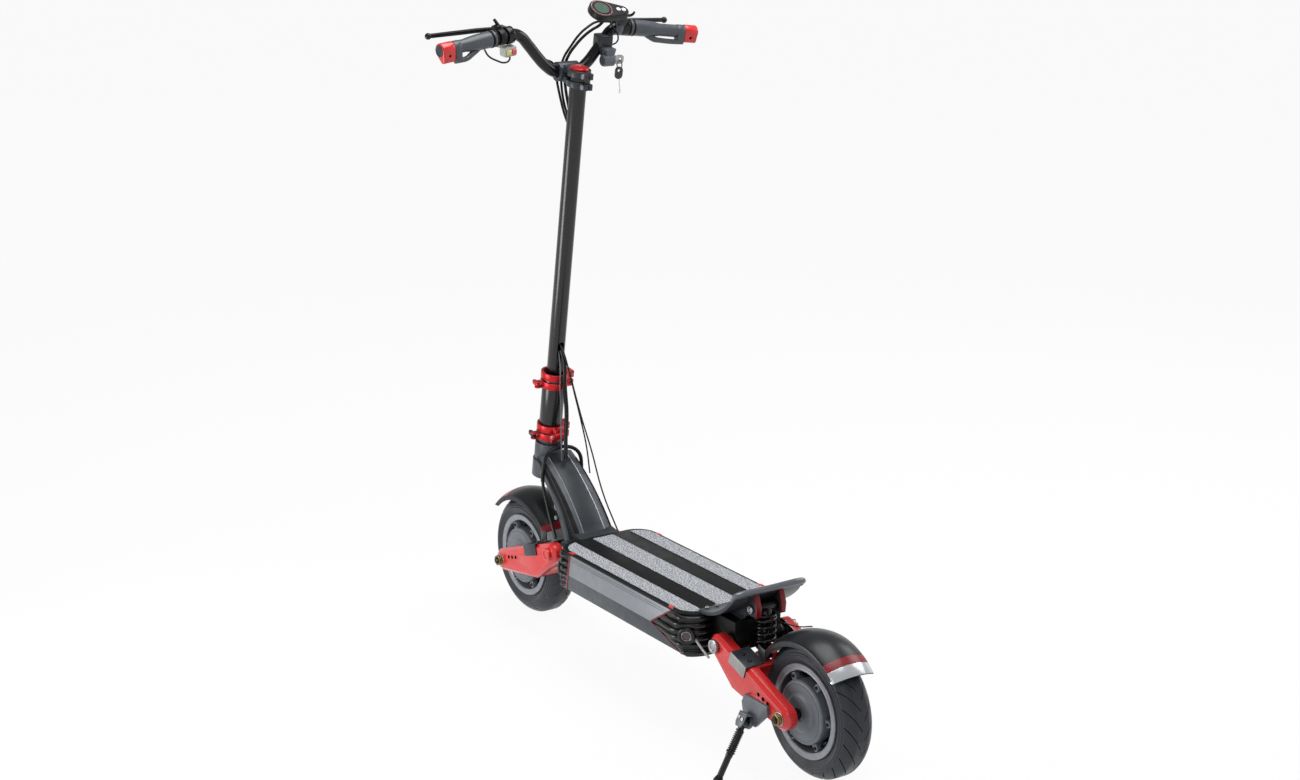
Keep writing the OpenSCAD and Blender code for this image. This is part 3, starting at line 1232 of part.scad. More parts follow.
// Suspension, wheel and stand nodes
module front_swing_arm() color("red") axle_frame(1) swing_arm();
module front_axle() color("silver") axle_frame(1) wheel_axle();
module front_mudguard() color([0.13, 0.13, 0.14]) axle_frame(1) mudguard();
module front_tyre() color([0.16, 0.16, 0.17]) axle_frame(1) tyre();
module front_hub_motor() color([0.45, 0.47, 0.5]) axle_frame(1) hub_motor();
module rear_swing_arm() color("red") {
    axle_frame(-1) swing_arm();
    stand_bracket();
}
module rear_axle() color("silver") axle_frame(-1) wheel_axle();
module rear_mudguard() color([0.13, 0.13, 0.14]) axle_frame(-1) mudguard();
module rear_tyre() color([0.16, 0.16, 0.17]) axle_frame(-1) tyre();
module rear_hub_motor() color([0.45, 0.47, 0.5]) axle_frame(-1) hub_motor();
rear_eye_half = gusset_y - run_gap;
module front_shock_body() color([0.1, 0.1, 0.11]) shock_frame(1, front_shock_top)
    shock_body(eye_w / 2);
module front_shock_rod() color("silver") shock_frame(1, front_shock_top) shock_rod(shock_length(front_shock_top));
module front_spring() color([0.08, 0.08, 0.09]) shock_frame(1, front_shock_top)
    shock_spring(shock_length(front_shock_top));
module rear_shock_body() color([0.1, 0.1, 0.11]) shock_frame(-1, rear_shock_top)
    shock_body(rear_eye_half);
module rear_shock_rod() color("silver") shock_frame(-1, rear_shock_top) shock_rod(shock_length(rear_shock_top));
module rear_spring() color([0.08, 0.08, 0.09]) shock_frame(-1, rear_shock_top)
    shock_spring(shock_length(rear_shock_top));

// Kickstand on the left leg of the rear arm
stand_r = 6;
stand_boss_r = 11;
stand_pin_r = 4;
stand_plate_t = 6;
stand_boss_back = 12;
stand_boss_front = 4;
stand_hub_front = 8;
module stand_frame() translate(stand_at) rotate([stand_lean, 0, 0]) children();
module stand_bracket() {
    stand_y = leg_outer + fit_gap;
    difference() {
        union() {
            translate([-axle_x, 0, axle_z]) slab(stand_y, stand_y + stand_plate_t) polygon([[26, -2], [30, 14],
                [96, 14], [104, -2], [96, -38], [62, -38]]);
            stand_frame() rod_y(stand_boss_r, -stand_boss_back, -stand_boss_front);
        }
        translate([-axle_x, stand_y - leg_t, axle_z - stand_at[2]]) cube([arm_reach, leg_t, 2 * stand_at[2]]);
    }
    stand_frame() rod_y(stand_pin_r, -stand_boss_front - 1, stand_hub_front + 1);
}
stand_spring_from = 20;
stand_spring_len = 36;
stand_spring_wire = 2;
stand_spring_turns = 9;
foot_len = 16;
foot_r = 9;
module stand_ground() translate([stand_at[0] - stand_len, 0, -stand_len])
    cube([2 * stand_len, stand_at[1] + 2 * stand_len, stand_len]);
module stand_spring() {
    bend = stand_r + stand_spring_wire / 2 + fit_gap;
    path = coil_path(bend, stand_spring_len, stand_spring_turns, stand_spring_wire);
    echo("least gap of the stand spring to itself", coil_gap(path, stand_spring_wire));
    translate([0, stand_line, -stand_spring_from - stand_spring_len]) coil(path, stand_spring_wire);
}
module kickstand_leg() color([0.12, 0.12, 0.13]) {
    difference() {
        stand_frame() difference() {
            union() {
                rod_y(stand_boss_r - 1, -stand_boss_front + run_gap, stand_hub_front);
                translate([0, stand_line, -stand_len]) cylinder(r = stand_r, h = stand_len);
                translate([0, stand_line, -stand_len]) cylinder(r = foot_r, h = foot_len);
            }
            rod_y(stand_pin_r + shaft_gap, -20, 20);
        }
        stand_ground();
    }
    stand_frame() stand_spring();
}

deck_tray();
deck_top_plate();
deck_grip_strips();
deck_end_caps();
deck_piping();
battery_pack();
motor_controllers();
deck_lamps();
neck_frame();
headset_bearings();
rear_pivot_block();
kick_plate();
chassis_bolts();
fork_frame();
fold_ring_lower();
fork_pins();
stem_rings();
stem_sleeve();
stem_tube();
bar_clamp();
stem_cap();
handlebar();
grips();
grip_end_caps();
brake_perches();
switch_pod();
display_housing();
display_glass();
key_switch();
stem_bolts();
handlebar_cables();
stem_cables();
left_brake_lever();
right_brake_lever();
throttle_lever();
mode_button();
power_button();
ignition_key();
key_fob();
yellow_button();
red_button();
fold_lever();
collar_lever();
front_swing_arm();
front_axle();
front_mudguard();
front_tyre();
front_hub_motor();
rear_swing_arm();
rear_axle();
rear_mudguard();
rear_tyre();
rear_hub_motor();
front_shock_body();
front_shock_rod();
front_spring();
rear_shock_body();
rear_shock_rod();
rear_spring();
kickstand_leg();
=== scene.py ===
import bpy
import json
import math
from mathutils import Matrix, Vector


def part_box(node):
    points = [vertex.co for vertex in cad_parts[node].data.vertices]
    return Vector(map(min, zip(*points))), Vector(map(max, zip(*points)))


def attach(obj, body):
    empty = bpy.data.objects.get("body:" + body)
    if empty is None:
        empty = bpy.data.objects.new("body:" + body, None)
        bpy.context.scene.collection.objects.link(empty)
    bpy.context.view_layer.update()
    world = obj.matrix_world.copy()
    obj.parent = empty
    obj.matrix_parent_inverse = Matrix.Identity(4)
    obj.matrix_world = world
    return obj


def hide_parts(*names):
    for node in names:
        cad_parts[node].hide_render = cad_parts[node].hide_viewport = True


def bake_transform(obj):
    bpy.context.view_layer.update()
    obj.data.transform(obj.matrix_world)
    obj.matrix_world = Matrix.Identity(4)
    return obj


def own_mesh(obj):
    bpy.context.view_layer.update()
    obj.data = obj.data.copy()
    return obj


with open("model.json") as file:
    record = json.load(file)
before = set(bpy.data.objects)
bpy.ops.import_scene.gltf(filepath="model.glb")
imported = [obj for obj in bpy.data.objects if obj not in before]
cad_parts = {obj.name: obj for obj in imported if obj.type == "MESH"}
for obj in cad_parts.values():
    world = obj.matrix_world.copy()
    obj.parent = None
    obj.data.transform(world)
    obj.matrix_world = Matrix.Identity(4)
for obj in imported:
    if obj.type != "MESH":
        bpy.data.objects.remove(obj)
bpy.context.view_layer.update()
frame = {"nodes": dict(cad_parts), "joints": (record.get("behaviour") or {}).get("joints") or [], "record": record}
cadNodes = frame["nodes"]
joints = {joint["name"]: joint for joint in frame["joints"]}
bodies = frame["record"]["behaviour"]["bodies"]
bodyOf = {node: body for body, members in bodies.items() for node in members}
print("frame loaded,", len(cadNodes), "nodes")

mm = 0.001
mergeGap = 0.001  # points nearer than this become one, in millimetres
endNames = {1: "front", -1: "rear"}
sideNames = {1: "left", -1: "right"}

# Frames that the pieces are modelled in, in millimetres
steerPlace = Vector(joints["steering"]["pos_m"])
steerAxis = Vector(joints["steering"]["axis"])
rake = math.atan2(-steerAxis.x, steerAxis.z)
wholeFrame = Matrix.Scale(mm, 4)
steerFrame = Matrix.Translation(steerPlace) @ Matrix.Rotation(-rake, 4, "Y") @ wholeFrame

barSizes = {
    "root": (56.5, 122, 1259),  # start of a straight end, in the steering frame
    "sweep": 7.25,
    "droop": 5.6,
    "run": 172,
    "settle": 14,  # from the root to the next point of the straight end
    "radius": 11.1,
    "rise": [(46.5, 26, 1180), (48.5, 47, 1192.6), (51.5, 66, 1211.6), (54.5, 86, 1234.5),
             (56.9, 104, 1252.7)],  # from the clamp to the root
}


def axleFrame(end):
    place = Vector(joints[endNames[end] + "_wheel_spin"]["pos_m"])
    return Matrix.Translation(place) @ Matrix.Diagonal((-end * mm, mm, mm, 1))  # x runs to the deck


def gripFrame(side):
    sweep = Matrix.Rotation(math.radians(barSizes["sweep"]), 4, "Z")
    droop = Matrix.Rotation(-math.radians(barSizes["droop"]), 4, "X")
    mirror = Matrix.Diagonal((1, side, 1, 1))
    return steerFrame @ mirror @ Matrix.Translation(barSizes["root"]) @ sweep @ droop


# Modelling helpers


def freshStart():
    if bpy.context.object and bpy.context.object.mode != "OBJECT":
        bpy.ops.object.mode_set(mode="OBJECT")
    bpy.ops.object.select_all(action="DESELECT")


def onlyThis(piece):
    freshStart()
    piece.select_set(True)
    bpy.context.view_layer.objects.active = piece


def openMesh(piece):
    # edit mode, with everything selected
    onlyThis(piece)
    bpy.ops.object.mode_set(mode="EDIT")
    bpy.ops.mesh.select_all(action="SELECT")


def pickFaces(piece, rule):
    # opens the piece with only the faces of a rule selected
    onlyThis(piece)
    bpy.ops.object.mode_set(mode="EDIT")
    bpy.ops.mesh.select_mode(type="FACE")
    bpy.ops.mesh.select_all(action="DESELECT")
    bpy.ops.object.mode_set(mode="OBJECT")
    for face in piece.data.polygons:
        face.select = bool(rule(face))
    bpy.ops.object.mode_set(mode="EDIT")


def tidyMesh(piece):
    openMesh(piece)
    bpy.ops.mesh.remove_doubles(threshold=mergeGap)
    bpy.ops.mesh.normals_make_consistent(inside=False)
    bpy.ops.object.mode_set(mode="OBJECT")


def outlineSolid(points, low, high):
    # a flat outline in x and y, extruded from one z to another
    freshStart()
    bpy.ops.mesh.primitive_circle_add(vertices=len(points), radius=1, fill_type="NGON")
    piece = bpy.context.object
    for vertex, point in zip(piece.data.vertices, points):
        vertex.co = (point[0], point[1], low)
    openMesh(piece)
    bpy.ops.mesh.extrude_region_move(TRANSFORM_OT_translate={"value": (0, 0, high - low)})
    bpy.ops.object.mode_set(mode="OBJECT")
    tidyMesh(piece)
    return piece


def sideSolid(points, low, high):
    # an outline in x and z, extruded along y
    piece = outlineSolid([(x, -z) for x, z in points], low, high)
    return movePiece(piece, Matrix.Rotation(-math.pi / 2, 4, "X"))


def spinProfile(profile, steps, sweep=360, start=0):
    # a closed outline of radius and y, spun about the y axis
    freshStart()
    bpy.ops.mesh.primitive_circle_add(vertices=len(profile), radius=1, fill_type="NOTHING")
    piece = bpy.context.object
    turn = math.radians(start)
    for vertex, (radius, y) in zip(piece.data.vertices, profile):
        vertex.co = (radius * math.cos(turn), y, radius * math.sin(turn))
    openMesh(piece)
    bpy.ops.mesh.spin(steps=steps, angle=-math.radians(sweep), center=(0, 0, 0), axis=(0, 1, 0))
    if sweep < 360:
        bpy.ops.mesh.select_all(action="SELECT")
        bpy.ops.mesh.remove_doubles(threshold=mergeGap)
        bpy.ops.mesh.fill_holes(sides=0)
    bpy.ops.object.mode_set(mode="OBJECT")
    tidyMesh(piece)
    return piece


def tubeAlong(points, radius, sides=4, steps=8, radii=None):
    # a round tube on a smooth curve through the points
    freshStart()
    bpy.ops.curve.primitive_bezier_curve_add()
    piece = bpy.context.object
    spline = piece.data.splines[0]
    spline.bezier_points.add(len(points) - 2)
    for i, (knot, point) in enumerate(zip(spline.bezier_points, points)):
        knot.co = point
        knot.handle_left_type = "AUTO"
        knot.handle_right_type = "AUTO"
        knot.radius = radii[i] if radii else 1
    piece.data.bevel_depth = radius
    piece.data.bevel_resolution = sides
    piece.data.resolution_u = steps
    piece.data.use_fill_caps = True
    bpy.ops.object.convert(target="MESH")
    piece = bpy.context.object
    tidyMesh(piece)
    return piece


def thickSheet(across, along, thick, place):
    # a sheet of quads, placed by a formula of two shares from 0 to 1, then thickened
    freshStart()
    bpy.ops.mesh.primitive_grid_add(x_subdivisions=across, y_subdivisions=along, size=2)
    piece = bpy.context.object
    for vertex in piece.data.vertices:
        vertex.co = place((vertex.co.x + 1) / 2, (vertex.co.y + 1) / 2)
    applyModifier(piece, "SOLIDIFY", thickness=thick, offset=0)
    tidyMesh(piece)
    return piece


def applyModifier(piece, kind, **settings):
    onlyThis(piece)
    modifier = piece.modifiers.new(kind.lower(), kind)
    for key, value in settings.items():
        setattr(modifier, key, value)
    bpy.ops.object.modifier_apply(modifier=modifier.name)
    return piece


def bevelEdges(piece, width, segments=2, angle=40):
    return applyModifier(piece, "BEVEL", width=width, segments=segments, limit_method="ANGLE",
                         angle_limit=math.radians(angle), use_clamp_overlap=True, miter_outer="MITER_ARC")


def cutWith(piece, cutter):
    applyModifier(piece, "BOOLEAN", object=cutter, operation="DIFFERENCE", solver="EXACT")
    bpy.data.objects.remove(cutter)
    return piece


def sliceOff(piece, height, dropsAbove):
    # cuts a piece flat at a height, drops what is above or below and closes the cut
    openMesh(piece)
    bpy.ops.mesh.bisect(plane_co=(0, 0, height), plane_no=(0, 0, 1), use_fill=True, clear_outer=dropsAbove,
                        clear_inner=not dropsAbove)
    bpy.ops.object.mode_set(mode="OBJECT")


def between(pair, share):
    return pair[0] + (pair[1] - pair[0]) * share


def helixPoints(radius, turns, count, ends):
    points = []
    for i in range(count + 1):
        turn = 2 * math.pi * turns * i / count
        points.append((radius * math.cos(turn), radius * math.sin(turn), between(ends, i / count)))
    return points


boltShape = {
    "sides": 24,
    "socket": 0.55,  # share of the head's radius
    "socketDepth": 0.5,  # share of its height
    "edge": 0.12,  # share of its radius
    "topFacing": 0.9,  # how much a face of the top looks up
}


def boltHead(radius, height):
    # a head that stands on z = 0, with a socket in its top
    freshStart()
    bpy.ops.mesh.primitive_cylinder_add(vertices=boltShape["sides"], radius=radius, depth=height,
                                        location=(0, 0, height / 2))
    bpy.ops.object.transform_apply(location=True, rotation=False, scale=False)
    piece = bpy.context.object
    pickFaces(piece, lambda face: face.normal.z > boltShape["topFacing"])
    bpy.ops.mesh.inset(thickness=radius * (1 - boltShape["socket"]))
    drop = (0, 0, -height * boltShape["socketDepth"])
    bpy.ops.mesh.extrude_region_move(TRANSFORM_OT_translate={"value": drop})
    bpy.ops.object.mode_set(mode="OBJECT")
    return bevelEdges(piece, radius * boltShape["edge"])


def movePiece(piece, matrix):
    piece.data.transform(matrix)
    if matrix.determinant() < 0:
        piece.data.flip_normals()
    return piece


def copyPiece(piece):
    twin = piece.copy()
    twin.data = piece.data.copy()
    bpy.context.scene.collection.objects.link(twin)
    return twin


def joinPieces(pieces):
    freshStart()
    for piece in pieces:
        piece.select_set(True)
    bpy.context.view_layer.objects.active = pieces[0]
    bpy.ops.object.join()
    return bpy.context.view_layer.objects.active


def paintFaces(piece, rules):
    # gives the faces that a rule picks a second finish
    for material, picks in rules:
        piece.data.materials.append(material)
        index = len(piece.data.materials) - 1
        for face in piece.data.polygons:
            if picks(face.center, face.normal):
                face.material_index = index


def keep(piece, name, place, body, material, replaced=(), angle=32, rules=(), ends=()):
    # rides one body, or, given a pair of bodies, has its place baked into its mesh
    movePiece(piece, place)
    piece.name = name
    piece.data.name = name
    onlyThis(piece)
    bpy.ops.object.shade_smooth_by_angle(angle=math.radians(angle))
    piece.data.materials.clear()
    piece.data.materials.append(material)
    paintFaces(piece, rules)
    if isinstance(body, str):
        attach(piece, body)
    else:
        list(body)
        place @ Vector(ends[0])
        place @ Vector(ends[1])
        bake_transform(piece)
    if replaced:
        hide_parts(*replaced)


dressAngles = {
    "flat": 0.6,  # faces that turn by less, in degrees, become one
    "round": 30,  # edges that turn by more are rounded
}


def dressNode(node, material, edge, rules):
    # a merged copy of a CAD node, with rounded edges, in the node's own place
    source = cadNodes[node]
    piece = source.copy()
    piece.data = source.data.copy()
    for key in list(piece.keys()):
        del piece[key]
    piece.parent = None
    bpy.context.scene.collection.objects.link(piece)
    openMesh(piece)
    bpy.ops.mesh.remove_doubles(threshold=mergeGap * mm)
    bpy.ops.mesh.dissolve_limited(angle_limit=math.radians(dressAngles["flat"]))
    bpy.ops.object.mode_set(mode="OBJECT")
    bevelEdges(piece, edge * mm, angle=dressAngles["round"])
    keep(piece, node + "_dressed", Matrix.Identity(4), bodyOf[node], material, (node,), rules=rules)


# Camera, fitted to the wheels, the deck and the bar in the photograph

cameraView = {
    "place": (-3.3215, 2.2605, 1.72707),
    "yaw": -33.81391,
    "pitch": 15.63491,
    "roll": 0.14256,
    "focalPixels": 2186.515,
    "framePixels": 1300,
    "sensor": 36,
    "farClip": 100,
}


def makeCamera(view):
    yaw = math.radians(view["yaw"])
    pitch = math.radians(view["pitch"])
    roll = math.radians(view["roll"])
    ahead = Vector((math.cos(pitch) * math.cos(yaw), math.cos(pitch) * math.sin(yaw), -math.sin(pitch)))
    right = Vector((math.sin(yaw), -math.cos(yaw), 0))
    up = right.cross(ahead)
    rightRolled = math.cos(roll) * right + math.sin(roll) * up
    upRolled = -math.sin(roll) * right + math.cos(roll) * up
    data = bpy.data.cameras.new("photoCamera")
    camera = bpy.data.objects.new("photoCamera", data)
    bpy.context.scene.collection.objects.link(camera)
    turn = Matrix((rightRolled, upRolled, -ahead)).transposed().to_4x4()
    camera.matrix_world = Matrix.Translation(view["place"]) @ turn
    data.sensor_width = view["sensor"]
    data.lens = view["sensor"] * view["focalPixels"] / view["framePixels"]
    data.clip_end = view["farClip"]
    bpy.context.scene.camera = camera


makeCamera(cameraView)
print("camera set")

# Shader groups


def addNode(tree, kind, **settings):
    node = tree.nodes.new(kind)
    for key, value in settings.items():
        setattr(node, key, value)
    return node


def newGroup(name, inputs, outputs):
    group = bpy.data.node_groups.new(name, "ShaderNodeTree")
    for label, value in inputs.items():
        socket = group.interface.new_socket(label, in_out="INPUT", socket_type="NodeSocketFloat")
        socket.default_value = value
    for label, kind in outputs.items():
        group.interface.new_socket(label, in_out="OUTPUT", socket_type=kind)
    return group, addNode(group, "NodeGroupInput"), addNode(group, "NodeGroupOutput")


def mathNode(tree, operation, first, second, clamp=False):
    node = addNode(tree, "ShaderNodeMath", operation=operation, use_clamp=clamp)
    for socket, value in zip(node.inputs, (first, second)):
        if isinstance(value, (int, float)):
            socket.default_value = value
        else:
            tree.links.new(value, socket)
    return node.outputs[0]


def noiseNode(tree, coords, scale, detail=4, roughness=0.55):
    noise = addNode(tree, "ShaderNodeTexNoise")
    noise.inputs["Detail"].default_value = detail
    noise.inputs["Roughness"].default_value = roughness
    tree.links.new(coords, noise.inputs["Vector"])
    if isinstance(scale, (int, float)):
        noise.inputs["Scale"].default_value = scale
    else:
        tree.links.new(scale, noise.inputs["Scale"])
    return noise.outputs["Fac"]


def patchyMask(tree, coords, scale, detail, level, gain):
    # noise above a level, stretched to a mask
    above = mathNode(tree, "SUBTRACT", noiseNode(tree, coords, scale, detail), level)
    return mathNode(tree, "MULTIPLY", above, gain, True)


grainShares = {"fine": 0.8, "slow": 0.2}
edgeSettings = {"radius": 0.9, "samples": 6, "gain": 9, "detail": 4, "level": 0.38, "patchGain": 5}
dustSettings = {"detail": 6, "level": 0.4, "patchGain": 3}


def makeGrainGroup(shares):
    # slow tone changes and a fine height for moulded, cast or painted skins
    group, start, end = newGroup("surfaceGrain", {"Scale": 60, "Fine": 900},
                                 {"Tone": "NodeSocketFloat", "Height": "NodeSocketFloat"})
    coords = addNode(group, "ShaderNodeTexCoord").outputs["Object"]
    slow = noiseNode(group, coords, start.outputs["Scale"])
    fine = noiseNode(group, coords, start.outputs["Fine"], 2)
    group.links.new(slow, end.inputs["Tone"])
    finePart = mathNode(group, "MULTIPLY", fine, shares["fine"])
    slowPart = mathNode(group, "MULTIPLY", slow, shares["slow"])
    group.links.new(mathNode(group, "ADD", finePart, slowPart), end.inputs["Height"])
    return group


def makeEdgeGroup(settings):
    # softened normals at the edges, and a broken mask where paint rubs off there
    group, start, end = newGroup("edgeWear", {"Breakup": 220},
                                 {"Mask": "NodeSocketFloat", "Normal": "NodeSocketVector"})
    soft = addNode(group, "ShaderNodeBevel", samples=settings["samples"])
    soft.inputs["Radius"].default_value = settings["radius"] * mm
    plain = addNode(group, "ShaderNodeNewGeometry")
    dot = addNode(group, "ShaderNodeVectorMath", operation="DOT_PRODUCT")
    group.links.new(soft.outputs[0], dot.inputs[0])
    group.links.new(plain.outputs["Normal"], dot.inputs[1])
    turned = mathNode(group, "SUBTRACT", 1, dot.outputs["Value"])
    edge = mathNode(group, "MULTIPLY", turned, settings["gain"], True)
    coords = addNode(group, "ShaderNodeTexCoord").outputs["Object"]
    broken = patchyMask(group, coords, start.outputs["Breakup"], settings["detail"], settings["level"],
                        settings["patchGain"])
    group.links.new(mathNode(group, "MULTIPLY", edge, broken), end.inputs["Mask"])
    group.links.new(soft.outputs[0], end.inputs["Normal"])
    return group


def makeDustGroup(settings):
    # dust that settles on faces that look up, in patches
    group, start, end = newGroup("settledDust", {"Scale": 35}, {"Mask": "NodeSocketFloat"})
    plain = addNode(group, "ShaderNodeNewGeometry")
    split = addNode(group, "ShaderNodeSeparateXYZ")
    group.links.new(plain.outputs["Normal"], split.inputs[0])
    up = mathNode(group, "MULTIPLY", split.outputs["Z"], 1, True)
    coords = addNode(group, "ShaderNodeTexCoord").outputs["Object"]
    patches = patchyMask(group, coords, start.outputs["Scale"], settings["detail"], settings["level"],
                         settings["patchGain"])
    group.links.new(mathNode(group, "MULTIPLY", up, patches), end.inputs["Mask"])
    return group


grainGroup = makeGrainGroup(grainShares)
edgeGroup = makeEdgeGroup(edgeSettings)
dustGroup = makeDustGroup(dustSettings)


def placeGroup(tree, group, **values):
    node = addNode(tree, "ShaderNodeGroup", node_tree=group)
    for label, value in values.items():
        node.inputs[label].default_value = value
    return node


def tone(red, green, blue):
    # screen colour to linear light
    def linear(value):
        share = value / 255
        return share / 12.92 if share <= 0.04045 else ((share + 0.055) / 1.055) ** 2.4
    return (linear(red), linear(green), linear(blue), 1)


def mixColour(tree, first, second, amount):
    node = addNode(tree, "ShaderNodeMix", data_type="RGBA")  # its colours are sockets 6, 7 and 2
    for socket, value in ((node.inputs[6], first), (node.inputs[7], second)):
        if isinstance(value, tuple):
            socket.default_value = value
        else:
            tree.links.new(value, socket)
    tree.links.new(amount, node.inputs["Factor"])
    return node.outputs[2]


def spread(tree, value, low, high, fromLow=0.3, fromHigh=0.7):
    node = addNode(tree, "ShaderNodeMapRange")
    tree.links.new(value, node.inputs["Value"])
    node.inputs["From Min"].default_value = fromLow
    node.inputs["From Max"].default_value = fromHigh
    node.inputs["To Min"].default_value = low
    node.inputs["To Max"].default_value = high
    return node.outputs["Result"]


plainLook = {  # colours as on screen, bump depth in metres
    "worn": (150, 150, 152),
    "wear": 0.15,
    "dust": 0.04,
    "dustColour": (176, 172, 166),
    "rough": (0.35, 0.5),
    "metal": 0,
    "grain": 60,
    "fine": 900,
    "bump": 0.06,
    "depth": 0.0003,
    "coat": 0,
    "coatRough": 0.12,
    "shine": 0.5,
}


def makeFinish(name, colour, other, **changes):
    # the slow grain runs between the colour and its other tone
    look = {**plainLook, **changes}
    material = bpy.data.materials.new(name)
    material.use_nodes = True
    tree = material.node_tree
    shader = tree.nodes["Principled BSDF"]
    grain = placeGroup(tree, grainGroup, Scale=look["grain"], Fine=look["fine"])
    edge = placeGroup(tree, edgeGroup)
    dust = placeGroup(tree, dustGroup)
    base = mixColour(tree, tone(*colour), tone(*other), spread(tree, grain.outputs["Tone"], 0, 1))
    rubbed = mathNode(tree, "MULTIPLY", edge.outputs["Mask"], look["wear"])
    base = mixColour(tree, base, tone(*look["worn"]), rubbed)
    settled = mathNode(tree, "MULTIPLY", dust.outputs["Mask"], look["dust"])
    base = mixColour(tree, base, tone(*look["dustColour"]), settled)
    tree.links.new(base, shader.inputs["Base Color"])
    tree.links.new(spread(tree, grain.outputs["Tone"], *look["rough"]), shader.inputs["Roughness"])
    shader.inputs["Metallic"].default_value = look["metal"]
    shader.inputs["Specular IOR Level"].default_value = look["shine"]
    shader.inputs["Coat Weight"].default_value = look["coat"]
    shader.inputs["Coat Roughness"].default_value = look["coatRough"]
    bump = addNode(tree, "ShaderNodeBump")
    bump.inputs["Strength"].default_value = look["bump"]
    bump.inputs["Distance"].default_value = look["depth"]
    tree.links.new(grain.outputs["Height"], bump.inputs["Height"])
    tree.links.new(edge.outputs["Normal"], bump.inputs["Normal"])
    tree.links.new(bump.outputs["Normal"], shader.inputs["Normal"])
    return material


